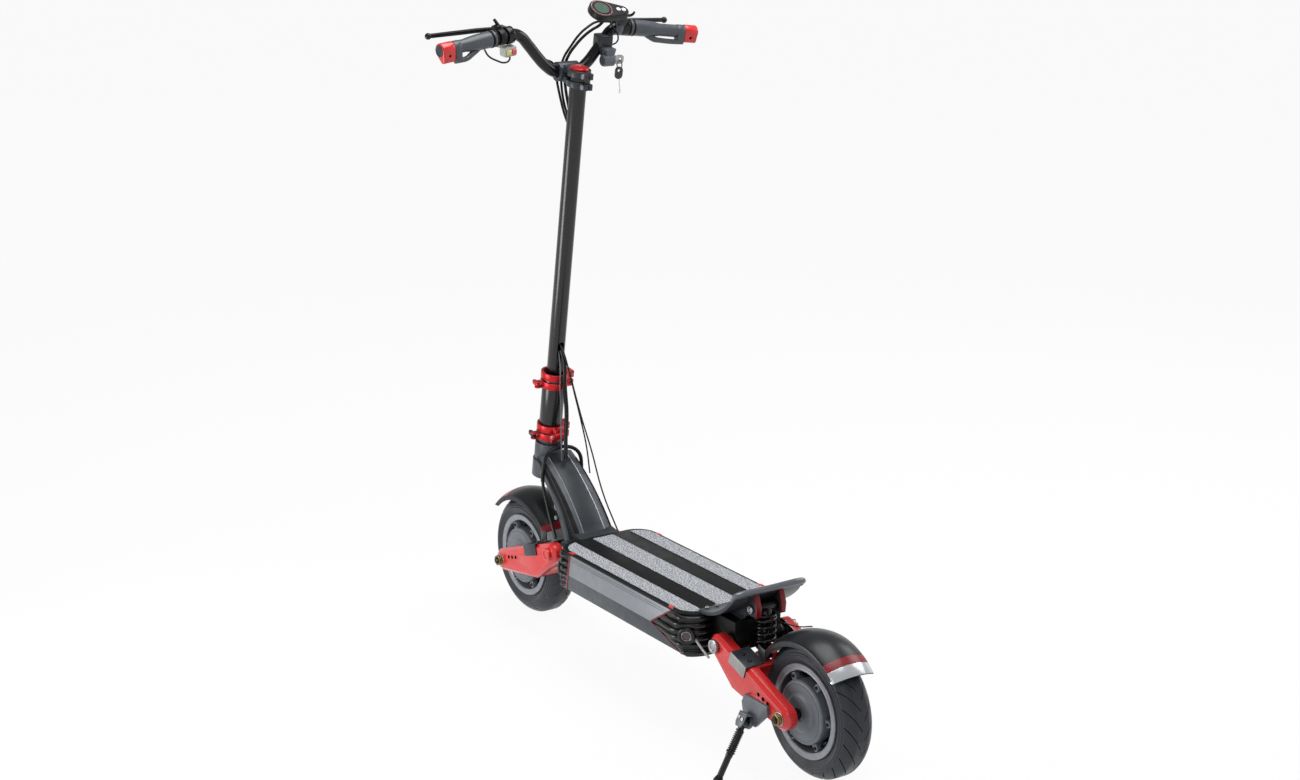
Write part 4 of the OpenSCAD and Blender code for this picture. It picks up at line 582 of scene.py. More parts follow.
finishLooks = {
    "deckGrey": dict(colour=(128, 132, 137), other=(122, 126, 131), worn=(190, 192, 196), metal=0.25,
                     rough=(0.3, 0.38), shine=0.4),
    # the deck grey made darker: painted shade for the down-facing side below the crease
    "deckPaintedShade": dict(colour=(54, 60, 66), other=(49, 55, 61), worn=(110, 114, 120), rough=(0.36, 0.46),
                      shine=0.3),
    "deckBlack": dict(colour=(16, 17, 19), other=(14, 15, 17), rough=(0.42, 0.5), shine=0.14, dust=0,
                      wear=0.05),
    "capBlack": dict(colour=(14, 15, 16), other=(12, 13, 14), rough=(0.2, 0.26), shine=0.4, dust=0,
                     bump=0.02, wear=0.04),
    "blackPlastic": dict(colour=(27, 28, 31), other=(22, 23, 25), rough=(0.3, 0.42), bump=0.15, shine=0.2),
    "guardBlack": dict(colour=(27, 29, 32), other=(25, 27, 30), rough=(0.28, 0.34), shine=0.3, dust=0,
                       bump=0.03),
    "redTrim": dict(colour=(134, 18, 28), other=(122, 15, 24), rough=(0.26, 0.34), shine=0.35, dust=0),
    "redPaint": dict(colour=(206, 38, 38), other=(198, 34, 34), rough=(0.26, 0.34), coat=0.3,
                     worn=(244, 150, 142), wear=0.35, bump=0.03, dust=0),
    "redAnodised": dict(colour=(196, 22, 30), other=(178, 16, 24), metal=0.55, rough=(0.24, 0.34),
                        worn=(250, 170, 166), wear=0.45),
    "frameGrey": dict(colour=(94, 99, 105), other=(87, 92, 98), worn=(190, 194, 198), wear=0.3,
                      rough=(0.32, 0.42), shine=0.4),
    "frameDark": dict(colour=(48, 52, 57), other=(45, 49, 54), worn=(150, 154, 160), wear=0.35,
                      rough=(0.28, 0.36), shine=0.3, dust=0, bump=0.03),
    "neckGrey": dict(colour=(74, 79, 85), other=(70, 75, 81), worn=(170, 174, 178), rough=(0.3, 0.4),
                     shine=0.25),
    # lighter than the kick sheet: the lip's grey, partly painted sheen for its highlight
    "lipGreyAndPaintedSheen": dict(colour=(96, 100, 105), other=(90, 94, 99), worn=(200, 202, 206), wear=0.4,
                    rough=(0.16, 0.22), shine=0.6, bump=0.02, dust=0),
    # near-black: the colour of black parts, and painted shade where it fills holes, gaps and recesses
    "blackAndPaintedShade": dict(colour=(9, 9, 10), other=(7, 7, 8), rough=(0.5, 0.6), shine=0.15),
    "satinBlack": dict(colour=(16, 17, 19), other=(14, 15, 17), rough=(0.18, 0.24), shine=0.32, dust=0,
                       bump=0.01),
    "stemBlack": dict(colour=(15, 16, 18), other=(13, 14, 16), rough=(0.2, 0.22), shine=0.5, bump=0.002,
                      wear=0.02, dust=0),
    "castGrey": dict(colour=(110, 115, 121), other=(104, 109, 115), rough=(0.32, 0.42), bump=0.08,
                     shine=0.3, dust=0),
    "rimSilver": dict(colour=(146, 150, 155), other=(130, 134, 139), metal=0.5, rough=(0.26, 0.38)),
    "steel": dict(colour=(176, 176, 177), other=(150, 150, 152), metal=0.95, rough=(0.2, 0.34)),
    "brass": dict(colour=(150, 124, 74), other=(120, 98, 56), metal=0.9, rough=(0.26, 0.4)),
    "tabGrey": dict(colour=(150, 150, 148), other=(138, 138, 137), metal=0.3, rough=(0.38, 0.48)),
    "bracketGrey": dict(colour=(128, 131, 134), other=(118, 121, 124), metal=0.3, rough=(0.38, 0.48)),
    "springBlack": dict(colour=(13, 13, 15), other=(11, 11, 13), rough=(0.2, 0.28), shine=0.4, dust=0,
                        bump=0.02),
    "gripGrey": dict(colour=(72, 76, 82), other=(68, 72, 78), rough=(0.28, 0.36), bump=0.02, fine=1600,
                     shine=0.45, dust=0),
    "cableBlack": dict(colour=(14, 15, 16), other=(11, 12, 13), rough=(0.22, 0.32), shine=0.25, dust=0),
    "cableSilver": dict(colour=(92, 95, 100), other=(80, 83, 88), metal=0.3, rough=(0.3, 0.42)),
    "tyreRubber": dict(colour=(52, 55, 60), other=(47, 50, 55), rough=(0.34, 0.44), dust=0.02, bump=0.15,
                       shine=0.26),
    # near-black for the floors of the tyre's sipes: painted shade in the grooves
    "sipePaintedShade": dict(colour=(12, 12, 13), other=(9, 9, 10), rough=(0.6, 0.7), shine=0.1),
    "lensClear": dict(colour=(64, 34, 37), other=(40, 20, 23), rough=(0.06, 0.12), coat=0.6, dust=0),
    "screenGlass": dict(colour=(66, 86, 78), other=(60, 80, 72), rough=(0.3, 0.36), shine=0.1, dust=0,
                        bump=0),
    "ringPink": dict(colour=(178, 112, 116), other=(168, 102, 108), rough=(0.24, 0.34)),
    "whiteButton": dict(colour=(236, 228, 228), other=(228, 218, 218)),
    "redButton": dict(colour=(214, 92, 98), other=(204, 82, 90)),
    "yellowButton": dict(colour=(222, 210, 140), other=(212, 198, 124)),
    "podGrey": dict(colour=(176, 176, 172), other=(166, 166, 162), rough=(0.3, 0.4)),
    "batteryWrap": dict(colour=(40, 74, 140), other=(34, 64, 126)),
    "fobBlack": dict(colour=(44, 45, 48), other=(38, 39, 42), rough=(0.3, 0.4)),
    "strapPale": dict(colour=(216, 208, 200), other=(204, 196, 188), rough=(0.6, 0.7)),
    "silverBand": dict(colour=(212, 215, 219), other=(198, 202, 206), metal=0.55, rough=(0.16, 0.26)),
    # bright grey for the right neck line, a painted highlight
    "neckPaintedHighlight": dict(colour=(190, 194, 199), other=(178, 182, 188), metal=0.4, rough=(0.24, 0.34)),
}
finishes = {name: makeFinish(name, **look) for name, look in finishLooks.items()}

tapeLook = {
    "gritScale": 620,
    "bump": 0.6,
    "depth": 0.0006,
    "specks": (  # scale, detail, roughness, strength and colour
        (320, 2, 0.7, 0.75, (54, 56, 60)),
        (390, 1, 0.6, 0.85, (222, 224, 228)),
    ),
    "speckLevels": (0.5, 0.6),  # of the noise, where a speck starts and is full
}


def makeGripTape(look):
    # coarse mineral grit in a grey binder
    material = makeFinish("gripTape", colour=(142, 145, 151), other=(132, 135, 141), rough=(0.78, 0.9),
                          bump=0.2, shine=0.2)
    tree = material.node_tree
    shader = tree.nodes["Principled BSDF"]
    coords = addNode(tree, "ShaderNodeTexCoord").outputs["Object"]
    grit = addNode(tree, "ShaderNodeTexVoronoi")
    grit.inputs["Scale"].default_value = look["gritScale"]
    tree.links.new(coords, grit.inputs["Vector"])
    base = shader.inputs["Base Color"].links[0].from_socket
    for scale, detail, roughness, strength, colour in look["specks"]:
        noise = noiseNode(tree, coords, scale, detail, roughness)
        base = mixColour(tree, base, tone(*colour), spread(tree, noise, 0, strength, *look["speckLevels"]))
    tree.links.new(base, shader.inputs["Base Color"])
    bump = addNode(tree, "ShaderNodeBump")
    bump.inputs["Strength"].default_value = look["bump"]
    bump.inputs["Distance"].default_value = look["depth"]
    tree.links.new(grit.outputs["Distance"], bump.inputs["Height"])
    tree.links.new(bump.outputs["Normal"], shader.inputs["Normal"])
    return material


finishes["gripTape"] = makeGripTape(tapeLook)
print("finishes made:", len(finishes))

# Floor, world and lights

studio = {
    "floorRadius": 30,
    "floorSides": 96,
    "backdropHeight": 9,  # of the wall round the floor
    "floorColour": (238, 238, 240),
    "floorGlow": 0.93,  # share of plain white that the camera sees in the floor
    "worldShare": 0.3,
    "aim": (0, 0, 0.5),  # where every light points
    "lights": {
        "keySoftbox": {"place": (-2.4, 2.8, 3.0), "size": (1.0, 1.6), "power": 18},
        "leftSoftbox": {"place": (0.48, 1.4, 0.5), "size": (0.6, 0.96), "power": 13},
        "overheadStrip": {"place": (-0.1, -0.3, 3.2), "size": (2.4, 1.6), "power": 70},
        "rightSoftbox": {"place": (-0.2, -2.6, 2.3), "size": (2.0, 1.2), "power": 30},
    },
}


def lookPast(tree):
    # 1 where the camera, a mirror or glass looks, 0 for light that falls on things
    path = addNode(tree, "ShaderNodeLightPath")
    seen = mathNode(tree, "MAXIMUM", path.outputs["Is Camera Ray"], path.outputs["Is Glossy Ray"])
    return mathNode(tree, "MAXIMUM", seen, path.outputs["Is Transmission Ray"])


def makeFloor(settings):
    freshStart()
    bpy.ops.mesh.primitive_circle_add(vertices=settings["floorSides"], radius=settings["floorRadius"],
                                      fill_type="NGON")
    floor = bpy.context.object
    floor.name = "studio_floor"
    bpy.ops.object.mode_set(mode="EDIT")
    bpy.ops.mesh.select_mode(type="EDGE")
    bpy.ops.mesh.select_all(action="DESELECT")
    bpy.ops.mesh.select_non_manifold()
    bpy.ops.mesh.extrude_edges_move(TRANSFORM_OT_translate={"value": (0, 0, settings["backdropHeight"])})
    bpy.ops.object.mode_set(mode="OBJECT")
    material = bpy.data.materials.new("studioFloor")
    material.use_nodes = True
    tree = material.node_tree
    out = tree.nodes["Material Output"]
    tree.nodes.remove(tree.nodes["Principled BSDF"])
    matt = addNode(tree, "ShaderNodeBsdfDiffuse")
    matt.inputs["Color"].default_value = tone(*settings["floorColour"])
    glow = addNode(tree, "ShaderNodeEmission")
    blend = addNode(tree, "ShaderNodeMixShader")
    tree.links.new(mathNode(tree, "MULTIPLY", lookPast(tree), settings["floorGlow"]), blend.inputs[0])
    tree.links.new(matt.outputs[0], blend.inputs[1])
    tree.links.new(glow.outputs[0], blend.inputs[2])
    tree.links.new(blend.outputs[0], out.inputs["Surface"])
    floor.data.materials.append(material)


def makeWorld(settings):
    world = bpy.data.worlds.new("studioWorld")
    bpy.context.scene.world = world
    world.use_nodes = True
    sky = world.node_tree.nodes["Background"]
    sky.inputs["Color"].default_value = (1, 1, 1, 1)
    sky.inputs["Strength"].default_value = settings["worldShare"]


def makeLights(settings):
    for name, lamp in settings["lights"].items():
        data = bpy.data.lights.new(name, "AREA")
        data.shape = "RECTANGLE"
        data.size, data.size_y = lamp["size"]
        data.energy = lamp["power"]
        light = bpy.data.objects.new(name, data)
        bpy.context.scene.collection.objects.link(light)
        light.location = lamp["place"]
        aim = Vector(settings["aim"]) - Vector(lamp["place"])
        light.rotation_euler = aim.to_track_quat("-Z", "Y").to_euler()


makeFloor(studio)
makeWorld(studio)
makeLights(studio)
bpy.context.scene.view_settings.view_transform = "Standard"
print("stage and lights set")

# Rigid pieces that keep the CAD shape, with rounded edges: finish, slot, edge radius in millimetres

dressedNodes = {
    "deck_tray": ("deckGrey", "deck_grey", 0.8),
    "deck_top_plate": ("deckBlack", "deck_black", 1.4),
    "deck_grip_strips": ("gripTape", "grip_tape", 0.4),
    "deck_end_caps": ("capBlack", "black_plastic", 0.8),
    "deck_piping": ("redTrim", "red_trim", 0.6),
    "battery_pack": ("batteryWrap", "battery_wrap", 3),
    "motor_controllers": ("steel", "bare_aluminium", 0.8),
    "neck_frame": ("neckGrey", "frame_grey", 0.7),
    "headset_bearings": ("steel", "steel", 0.5),
    "rear_pivot_block": ("blackAndPaintedShade", "frame_black", 1.2),
    "chassis_bolts": ("steel", "steel", 0.8),
    "fork_frame": ("neckGrey", "frame_grey", 1.4),
    "fold_ring_lower": ("redAnodised", "frame_red", 0.7),
    "fork_pins": ("steel", "steel", 0.8),
    "stem_rings": ("redAnodised", "frame_red", 0.7),
    "stem_sleeve": ("stemBlack", "frame_black", 0.6),
    "stem_tube": ("stemBlack", "frame_black", 0.6),
    "bar_clamp": ("frameDark", "frame_black", 1.2),
    "stem_bolts": ("bracketGrey", "steel", 0.6),
    "brake_perches": ("satinBlack", "frame_black", 1.2),
    "left_brake_lever": ("satinBlack", "frame_black", 2),
    "right_brake_lever": ("satinBlack", "frame_black", 2),
    "ignition_key": ("steel", "steel", 0.4),
    "front_shock_body": ("satinBlack", "frame_black", 0.8),
    "rear_shock_body": ("satinBlack", "frame_black", 0.8),
    "front_shock_rod": ("satinBlack", "steel", 0.8),
    "rear_shock_rod": ("satinBlack", "steel", 0.8),
    "front_swing_arm": ("redPaint", "frame_red", 1.6),
    "rear_swing_arm": ("redPaint", "frame_red", 1.6),
    "key_fob": ("fobBlack", "fob_black", 1),
}


def inFrame(matrix, rule):
    # a face rule stated in the millimetres of a frame
    back = matrix.inverted()
    return lambda centre, normal: rule(back @ centre, normal)


armPaint = {
    "caliper": (-64.2, -28),  # from and to, across the arm
    "caliperReach": 132,
    "shockPin": (160, 47.5, 6.2),  # place and radius
    "shockPinHalf": 60,
    "holes": ((34, 16), (48, 20), (62, 24)),
    "holeRadius": 4.4,
    "holeHalf": 87.9,  # just inside the leg's outer face
    "standBracket": 88.05,  # just outside it, on the rear arm alone
}


def armRules(end, paint):
    place = axleFrame(end)
    low, high = paint["caliper"]
    pinX, pinZ, pinRadius = paint["shockPin"]

    def onPin(p, n):
        return abs(p.y) < paint["shockPinHalf"] and math.hypot(p.x - pinX, p.z - pinZ) < pinRadius

    def inHole(p, n):
        near = any(math.hypot(p.x - x, p.z - z) < paint["holeRadius"] for x, z in paint["holes"])
        return near and abs(p.y) < paint["holeHalf"]

    return [
        ("satinBlack", inFrame(place, lambda p, n: low < p.y < high and p.x < paint["caliperReach"])),
        ("steel", inFrame(place, onPin)),
        # faces inside the arm's holes are near-black, painted shade
        ("blackAndPaintedShade", inFrame(place, inHole)),
        ("frameGrey", inFrame(place, lambda p, n: end < 0 and p.y > paint["standBracket"])),
    ]


# Rules on a face's centre, in metres, and normal
dressRules = {
    "deck_tray": [("deckPaintedShade", lambda c, n: n.z < -0.05)],  # below the crease, painted shade on the side that faces down
    "neck_frame": [("frameDark", lambda c, n: abs(c.y) < 0.006 and n.z > 0.3),  # flat top, darker grey as a painted dark reflection
                   ("blackAndPaintedShade", lambda c, n: n.y > 0.9 and c.y > 0.03)],  # left flank, near-black as painted shade of the gap to the fork
    "front_swing_arm": armRules(1, armPaint),
    "rear_swing_arm": armRules(-1, armPaint),
    "fork_pins": [("redPaint", lambda c, n: abs(c.y) > 0.064)],  # ends of the pivot bolt
}

for node, (finish, slot, edge) in dressedNodes.items():
    rules = [(finishes[name], rule) for name, rule in dressRules.get(node, ())]
    dressNode(node, finishes[finish], edge, rules)
print("dressed nodes:", len(dressedNodes))

upright = Matrix.Rotation(math.pi / 2, 4, "X")  # turns a spun piece's y axis to z
sideways = Matrix.Rotation(-math.pi / 2, 4, "X")  # turns a piece's z axis to y
lengthways = Matrix(((0, 0, 1, 0), (1, 0, 0, 0), (0, 1, 0, 0), (0, 0, 0, 1)))  # turns x, y, z to y, z, x


def hullOutline(circles, count=40):
    # the outline round a few circles of x, y and radius
    points = []
    for x, y, radius in circles:
        for i in range(count):
            turn = 2 * math.pi * i / count
            points.append((x + radius * math.cos(turn), y + radius * math.sin(turn)))
    points.sort()

    def half(ordered):
        chain = []
        for point in ordered:
            while len(chain) > 1 and ((chain[-1][0] - chain[-2][0]) * (point[1] - chain[-2][1])
                                      - (chain[-1][1] - chain[-2][1]) * (point[0] - chain[-2][0])) <= 0:
                chain.pop()
            chain.append(point)
        return chain[:-1]
    return half(points) + half(points[::-1])


def boxSolid(low, high, edge):
    points = [(low[0], low[1]), (high[0], low[1]), (high[0], high[1]), (low[0], high[1])]
    return bevelEdges(outlineSolid(points, low[2], high[2]), edge, 3)


def turnedCopies(piece, count):
    # copies of one piece round the y axis, joined
    copies = [piece]
    for i in range(1, count):
        copies.append(movePiece(copyPiece(piece), Matrix.Rotation(2 * math.pi * i / count, 4, "Y")))
    return joinPieces(copies)


# Tyres with long slanted sipes

tyreSizes = {
    "sectionMiddle": 93.56,
    "sectionRadius": 36,
    "outer": 127.5,
    "bead": 84,
    "rim": 88.2,
    "beadHalf": 27.9,
    "beadFlare": 0.2,
    "arcTo": 76,  # the section's end, in degrees from its crown
    "arcPoints": 38,
    "ridge": 0.9,
    "ridgeFrom": 56,
    "ridgeTo": 75,
    "sipes": 22,
    "columns": 12,  # columns of faces in each sipe's pitch
    "sipeDepth": 3,
    "sipeFrom": 3,  # place on the section's arc, in degrees
    "sipeTo": 58,
    "slant": 1.6,  # pitches that a sipe leans over its length
}


def makeTyre(end, sizes):
    middle = sizes["sectionMiddle"]
    radius = sizes["sectionRadius"]
    flare = sizes["beadHalf"] + sizes["beadFlare"]
    profile = [(sizes["bead"], -sizes["beadHalf"]), (sizes["rim"], -flare)]
    for i in range(sizes["arcPoints"] + 1):
        arc = -sizes["arcTo"] + 2 * sizes["arcTo"] * i / sizes["arcPoints"]
        grooved = sizes["ridgeFrom"] < abs(arc) < sizes["ridgeTo"] and i % 2
        size = radius - (sizes["ridge"] if grooved else 0)
        turn = math.radians(arc)
        profile.append((min(middle + size * math.cos(turn), sizes["outer"]), size * math.sin(turn)))
    profile += [(sizes["rim"], flare), (sizes["bead"], sizes["beadHalf"])]
    steps = sizes["sipes"] * sizes["columns"]
    piece = spinProfile(profile, steps)

    def inSipe(face):
        centre = face.center
        arc = math.degrees(math.asin(max(-1, min(1, centre.y / radius))))
        column = int(math.degrees(math.atan2(centre.z, centre.x)) % 360 / 360 * steps)
        offset = 0 if centre.y > 0 else sizes["columns"] // 2
        outside = math.hypot(centre.x, centre.z) > middle
        inArc = sizes["sipeFrom"] < abs(arc) < sizes["sipeTo"]
        return outside and inArc and (column + offset) % sizes["columns"] == 0

    pickFaces(piece, inSipe)
    bpy.ops.mesh.extrude_region_shrink_fatten(TRANSFORM_OT_shrink_fatten={"value": -sizes["sipeDepth"]})
    bpy.ops.object.mode_set(mode="OBJECT")
    shadedSipeFloors = {face.index for face in piece.data.polygons if face.select}
    pitch = 2 * math.pi / sizes["sipes"]
    for vertex in piece.data.vertices:
        lean = sizes["slant"] * pitch * abs(vertex.co.y) / radius
        vertex.co = Matrix.Rotation(lean, 3, "Y") @ vertex.co
    side = endNames[end]
    keep(piece, side + "_tyre_treaded", axleFrame(end), side + "_wheel", finishes["tyreRubber"],
         (side + "_tyre",))
    # the sipe floors are near-black, painted shade in the grooves
    piece.data.materials.append(finishes["sipePaintedShade"])
    for face in piece.data.polygons:
        if face.index in shadedSipeFloors:
            face.material_index = 1


for end in (-1, 1):
    makeTyre(end, tyreSizes)
print("tyres made")

# Hub motors: rim, raised covers over a dark channel, lugs, ribs, bolts and brake disc

hubSizes = {
    "rim": [(74, 26), (75, 31), (77.5, 32.8), (79, 32.4), (86.8, 33), (88, 31.6), (88, 28.6), (84, 27.4)],
    "core": [(7.5, -13), (74.2, -13), (74.2, 13), (7.5, 13)],
    "cover": [(7.5, 12), (59, 12), (59.5, 13), (59.5, 36.5), (57.5, 39), (54, 39.8), (53.4, 39), (52.2, 39),
              (51.8, 40), (37, 41), (33, 44.4), (31, 45), (14, 45), (12.5, 44), (7.5, 44)],
    "lugs": 6,
    "lugAt": 67,
    "lugRoot": 56,
    "lugHalf": 6.5,
    "lugSteps": 12,
    "lugBase": 12,
    "lugTop": 32,
    "rib": [(64.5, 12), (69, 12), (69, 22.4), (68, 23.6), (65.5, 23.6), (64.5, 22.4)],
    "ribSweep": 36,
    "boltRadius": 3.4,
    "boltHeight": 3,
    "boltSink": 0.3,
    "mount": [(8, -44.5), (27, -44.5), (27, -46), (8, -46)],
    "disc": [(22, -48), (69.4, -48), (70, -47.4), (70, -46.6), (69.4, -46), (22, -46)],
    "discHoles": ((60, 5, 9), (38, 9, 6)),  # pitch radius, hole radius, count
    "discCut": (-52, -42),
}


def makeHub(end, sizes):
    side = endNames[end]
    body = side + "_wheel"
    node = side + "_hub_motor"
    place = axleFrame(end)
    rim = spinProfile(sizes["rim"] + [(r, -y) for r, y in reversed(sizes["rim"])], 144)
    keep(rim, side + "_rim", place, body, finishes["rimSilver"], (node,))
    # the core between the covers is near-black, painted shade of the channel between rim and covers
    core = spinProfile(sizes["core"], 96)
    keep(core, side + "_hub_core", place, body, finishes["blackAndPaintedShade"], (node,))
    for face, label in sideNames.items():
        name = side + "_" + label
        across = place @ Matrix.Diagonal((1, face, 1, 1))
        cover = spinProfile(sizes["cover"], 128)
        keep(cover, name + "_cover", across, body, finishes["castGrey"], (node,))
        middle = sizes["lugAt"]
        tongue = [(sizes["lugRoot"], -sizes["lugHalf"])]
        for i in range(sizes["lugSteps"] + 1):
            turn = math.radians(-90 + 180 * i / sizes["lugSteps"])
            tongue.append((middle + sizes["lugHalf"] * math.cos(turn), sizes["lugHalf"] * math.sin(turn)))
        tongue.append((sizes["lugRoot"], sizes["lugHalf"]))
        lug = bevelEdges(sideSolid(tongue, sizes["lugBase"], sizes["lugTop"]), 1, angle=50)
        keep(turnedCopies(lug, sizes["lugs"]), name + "_lugs", across, body,
             finishes["castGrey"])
        bolt = boltHead(sizes["boltRadius"], sizes["boltHeight"])
        movePiece(bolt, Matrix.Translation((middle, sizes["lugTop"] - sizes["boltSink"], 0)) @ sideways)
        keep(turnedCopies(bolt, sizes["lugs"]), name + "_cover_bolts", across, body,
             finishes["satinBlack"])
        ribStart = 180 / sizes["lugs"] - sizes["ribSweep"] / 2  # midway between two lugs
        rib = spinProfile(sizes["rib"], 12, sizes["ribSweep"], ribStart)
        keep(turnedCopies(rib, sizes["lugs"]), name + "_ribs", across, body,
             finishes["springBlack"])
    mount = spinProfile(sizes["mount"], 64)
    keep(mount, side + "_disc_mount", place, body, finishes["frameDark"])
    disc = spinProfile(sizes["disc"], 128)
    cutters = []
    for pitchRadius, holeRadius, count in sizes["discHoles"]:
        hole = sideSolid(hullOutline([(pitchRadius, 0, holeRadius)], 28), *sizes["discCut"])
        cutters.append(turnedCopies(hole, count))
    cutWith(disc, joinPieces(cutters))
    keep(disc, side + "_brake_disc", place, body, finishes["steel"])


for end in (-1, 1):
    makeHub(end, hubSizes)
print("hubs made")

# Axles: rod with chamfered ends, spacers, washers and two thin nuts on each side

axleSizes = {
    "rod": [(0, -101), (4.6, -101), (6.8, -99.4), (6.8, 99.4), (4.6, 101), (0, 101)],
    "spacer": [(7.1, 47.2), (11, 47.2), (11, 63.4), (7.1, 63.4)],
    "washer": [(7, 88.1), (13.4, 88.1), (13.4, 89.7), (7, 89.7)],
    "nuts": ((89.7, 93.4, 10), (93.8, 97.6, 32)),  # from, to and turn in degrees
    "nutRadius": 11.6,
    "nutBore": 6.9,
    "cutPast": 4,  # how far a cutter passes a nut
}


def makeAxle(end, sizes):
    side = endNames[end]
    node = side + "_axle"
    place = axleFrame(end)
    keep(spinProfile(sizes["rod"], 40), side + "_axle_rod", place, bodyOf[node], finishes["satinBlack"],
         (node,))
    for face, label in sideNames.items():
        name = side + "_" + label
        across = place @ Matrix.Diagonal((1, face, 1, 1))
        spacer = bevelEdges(spinProfile(sizes["spacer"], 40), 0.6)
        keep(spacer, name + "_spacer", across, bodyOf[node], finishes["satinBlack"], (node,))
        washer = bevelEdges(spinProfile(sizes["washer"], 40), 0.4)
        keep(washer, name + "_washer", across, bodyOf[node], finishes["steel"])
        nuts = []
        for low, high, turn in sizes["nuts"]:
            corners = []
            for i in range(6):
                lean = math.radians(turn + 60 * i)
                corners.append((sizes["nutRadius"] * math.cos(lean), sizes["nutRadius"] * math.sin(lean)))
            nut = sideSolid(corners, low, high)
            past = sizes["cutPast"]
            cutWith(nut, sideSolid(hullOutline([(0, 0, sizes["nutBore"])]), low - past, high + past))
            nuts.append(bevelEdges(nut, 0.6))
        keep(joinPieces(nuts), name + "_nuts", across, bodyOf[node], finishes["brass"], (node,))


for end in (-1, 1):
    makeAxle(end, axleSizes)
print("axles made")

# Mudguards: a rounded sheet with a skirt, bands at its ends, and a saddle on each leg of the arm

guardSizes = {
    "crown": 143.5,
    "edge": 131,
    "half": 45,
    "start": 27.9,
    "end": 136.8,
    "thick": 2.6,
    "skirt": 9,
    "skirtOut": 1.2,
    "skirtFade": 4,  # degrees over which the skirt runs out at the ends
    "skirtLeast": 0.12,  # share of the skirt left there
    "crownShare": 0.84,  # of the sheet's width, the rest is skirt
    "across": 50,  # faces in the sheet's width
    "along": 90,
    # from, to and finish, counted from the sheet's end where they are negative
    "bands": {
        1: {"red_tip": (-28, -13, "redTrim"), "red_band": (9.6, 16.5, "redTrim"),
            "silver_band": (0.3, 9.6, "silverBand")},
        -1: {"red_tip": (10, 21, "redTrim"), "red_band": (-16.5, -9.6, "redTrim"),
             "silver_band": (-9.6, -0.3, "silverBand")},
    },
    "bandLift": 0.2,
    "bandThick": 0.5,
    "bandAlong": 10,
    "saddle": [(48, 0.1), (88.1, 0.1), (88.1, -22), (90.6, -22), (90.6, 1.4), (89.4, 2.6), (48, 2.6)],
    "saddleFrom": 97,
    "saddleTo": 147,
    "saddleTurn": (113, 66),
    "saddleSlope": 18.4,
    "screwAt": (112, 132),
    "screwLine": (72, 2.5),
    "screwHead": (4, 2.4),  # radius and height
    "stay": [(99, 64), (121, 72), (119.5, 91.5), (99.3, 85.5)],
    "stayFrom": 45.2,
    "stayTo": 47.6,
}


def guardSheet(sizes, turnFrom, turnTo, lift, thick, along):
    rise = sizes["crown"] - sizes["edge"]
    bend = (sizes["half"] ** 2 + rise ** 2) / (2 * rise)
    widest = math.asin(sizes["half"] / bend)
    share = sizes["crownShare"]

    def place(u, v):
        turn = turnFrom + (turnTo - turnFrom) * v
        across = 2 * u - 1
        sign = 1 if across > 0 else -1
        lean = widest * min(1, abs(across) / share)
        radius = sizes["crown"] - bend + (bend + lift) * math.cos(lean)
        y = sign * (bend + lift) * math.sin(lean)
        if abs(across) > share:
            drop = (abs(across) - share) / (1 - share)
            fade = min(1, (turn - sizes["start"]) / sizes["skirtFade"],
                       (sizes["end"] - turn) / sizes["skirtFade"])
            radius -= sizes["skirt"] * drop * max(sizes["skirtLeast"], fade)
            y += sign * sizes["skirtOut"] * drop
        return (radius * math.cos(math.radians(turn)), y, radius * math.sin(math.radians(turn)))

    return thickSheet(sizes["across"], along, thick, place)


def makeMudguard(end, sizes):
    side = endNames[end]
    body = side + "_arm"
    node = side + "_mudguard"
    place = axleFrame(end)
    thick = sizes["thick"]
    sheet = guardSheet(sizes, sizes["start"], sizes["end"], -thick / 2, thick, sizes["along"])
    keep(bevelEdges(sheet, 0.7, angle=50), side + "_mudguard_sheet", place, body, finishes["guardBlack"],
         (node,), 50)
    for label, (bandFrom, bandTo, finish) in sizes["bands"][end].items():
        base = sizes["start"] if bandTo > 0 else sizes["end"]
        band = guardSheet(sizes, base + bandFrom, base + bandTo, sizes["bandLift"], sizes["bandThick"],
                          sizes["bandAlong"])
        keep(band, side + "_mudguard_" + label, place, body, finishes[finish], (), 50)
    hingeX, hingeZ = sizes["saddleTurn"]
    slope = Matrix.Rotation(-math.radians(sizes["saddleSlope"]), 4, "Y")
    tilt = Matrix.Translation((hingeX, 0, hingeZ)) @ slope @ Matrix.Translation((-hingeX, 0, 0))
    for face, label in sideNames.items():
        name = side + "_" + label
        across = place @ Matrix.Diagonal((1, face, 1, 1))
        saddle = outlineSolid(sizes["saddle"], sizes["saddleFrom"], sizes["saddleTo"])
        movePiece(saddle, lengthways)
        movePiece(bevelEdges(saddle, 0.8), tilt)
        keep(saddle, name + "_saddle", across, body, finishes["frameDark"],
             (node,), rules=[(finishes["tabGrey"], lambda c, n: abs(n.y) > 0.8 and end < 0)])
        screws = []
        for x in sizes["screwAt"]:
            spot = Matrix.Translation((x, *sizes["screwLine"]))
            screws.append(movePiece(boltHead(*sizes["screwHead"]), tilt @ spot))
        keep(joinPieces(screws), name + "_saddle_screws", across, body, finishes["satinBlack"])
        stay = bevelEdges(sideSolid(sizes["stay"], sizes["stayFrom"], sizes["stayTo"]), 0.6)
        keep(stay, name + "_stay", across, body, finishes["frameDark"], (node,))


for end in (-1, 1):
    makeMudguard(end, guardSizes)
print("mudguards made")

# Coil springs of the shock absorbers

springSizes = {
    "coilRadius": {"front": 15.1, "rear": 17.2},
    "wire": {"front": 2.2, "rear": 2.8},
    "turns": 4.2,
    "perch": 17.5,  # from an eye to the spring's seat
    "points": 14,  # points in a turn
    "keep": 0.9,  # share of the length left with the arm at its upper limit
}


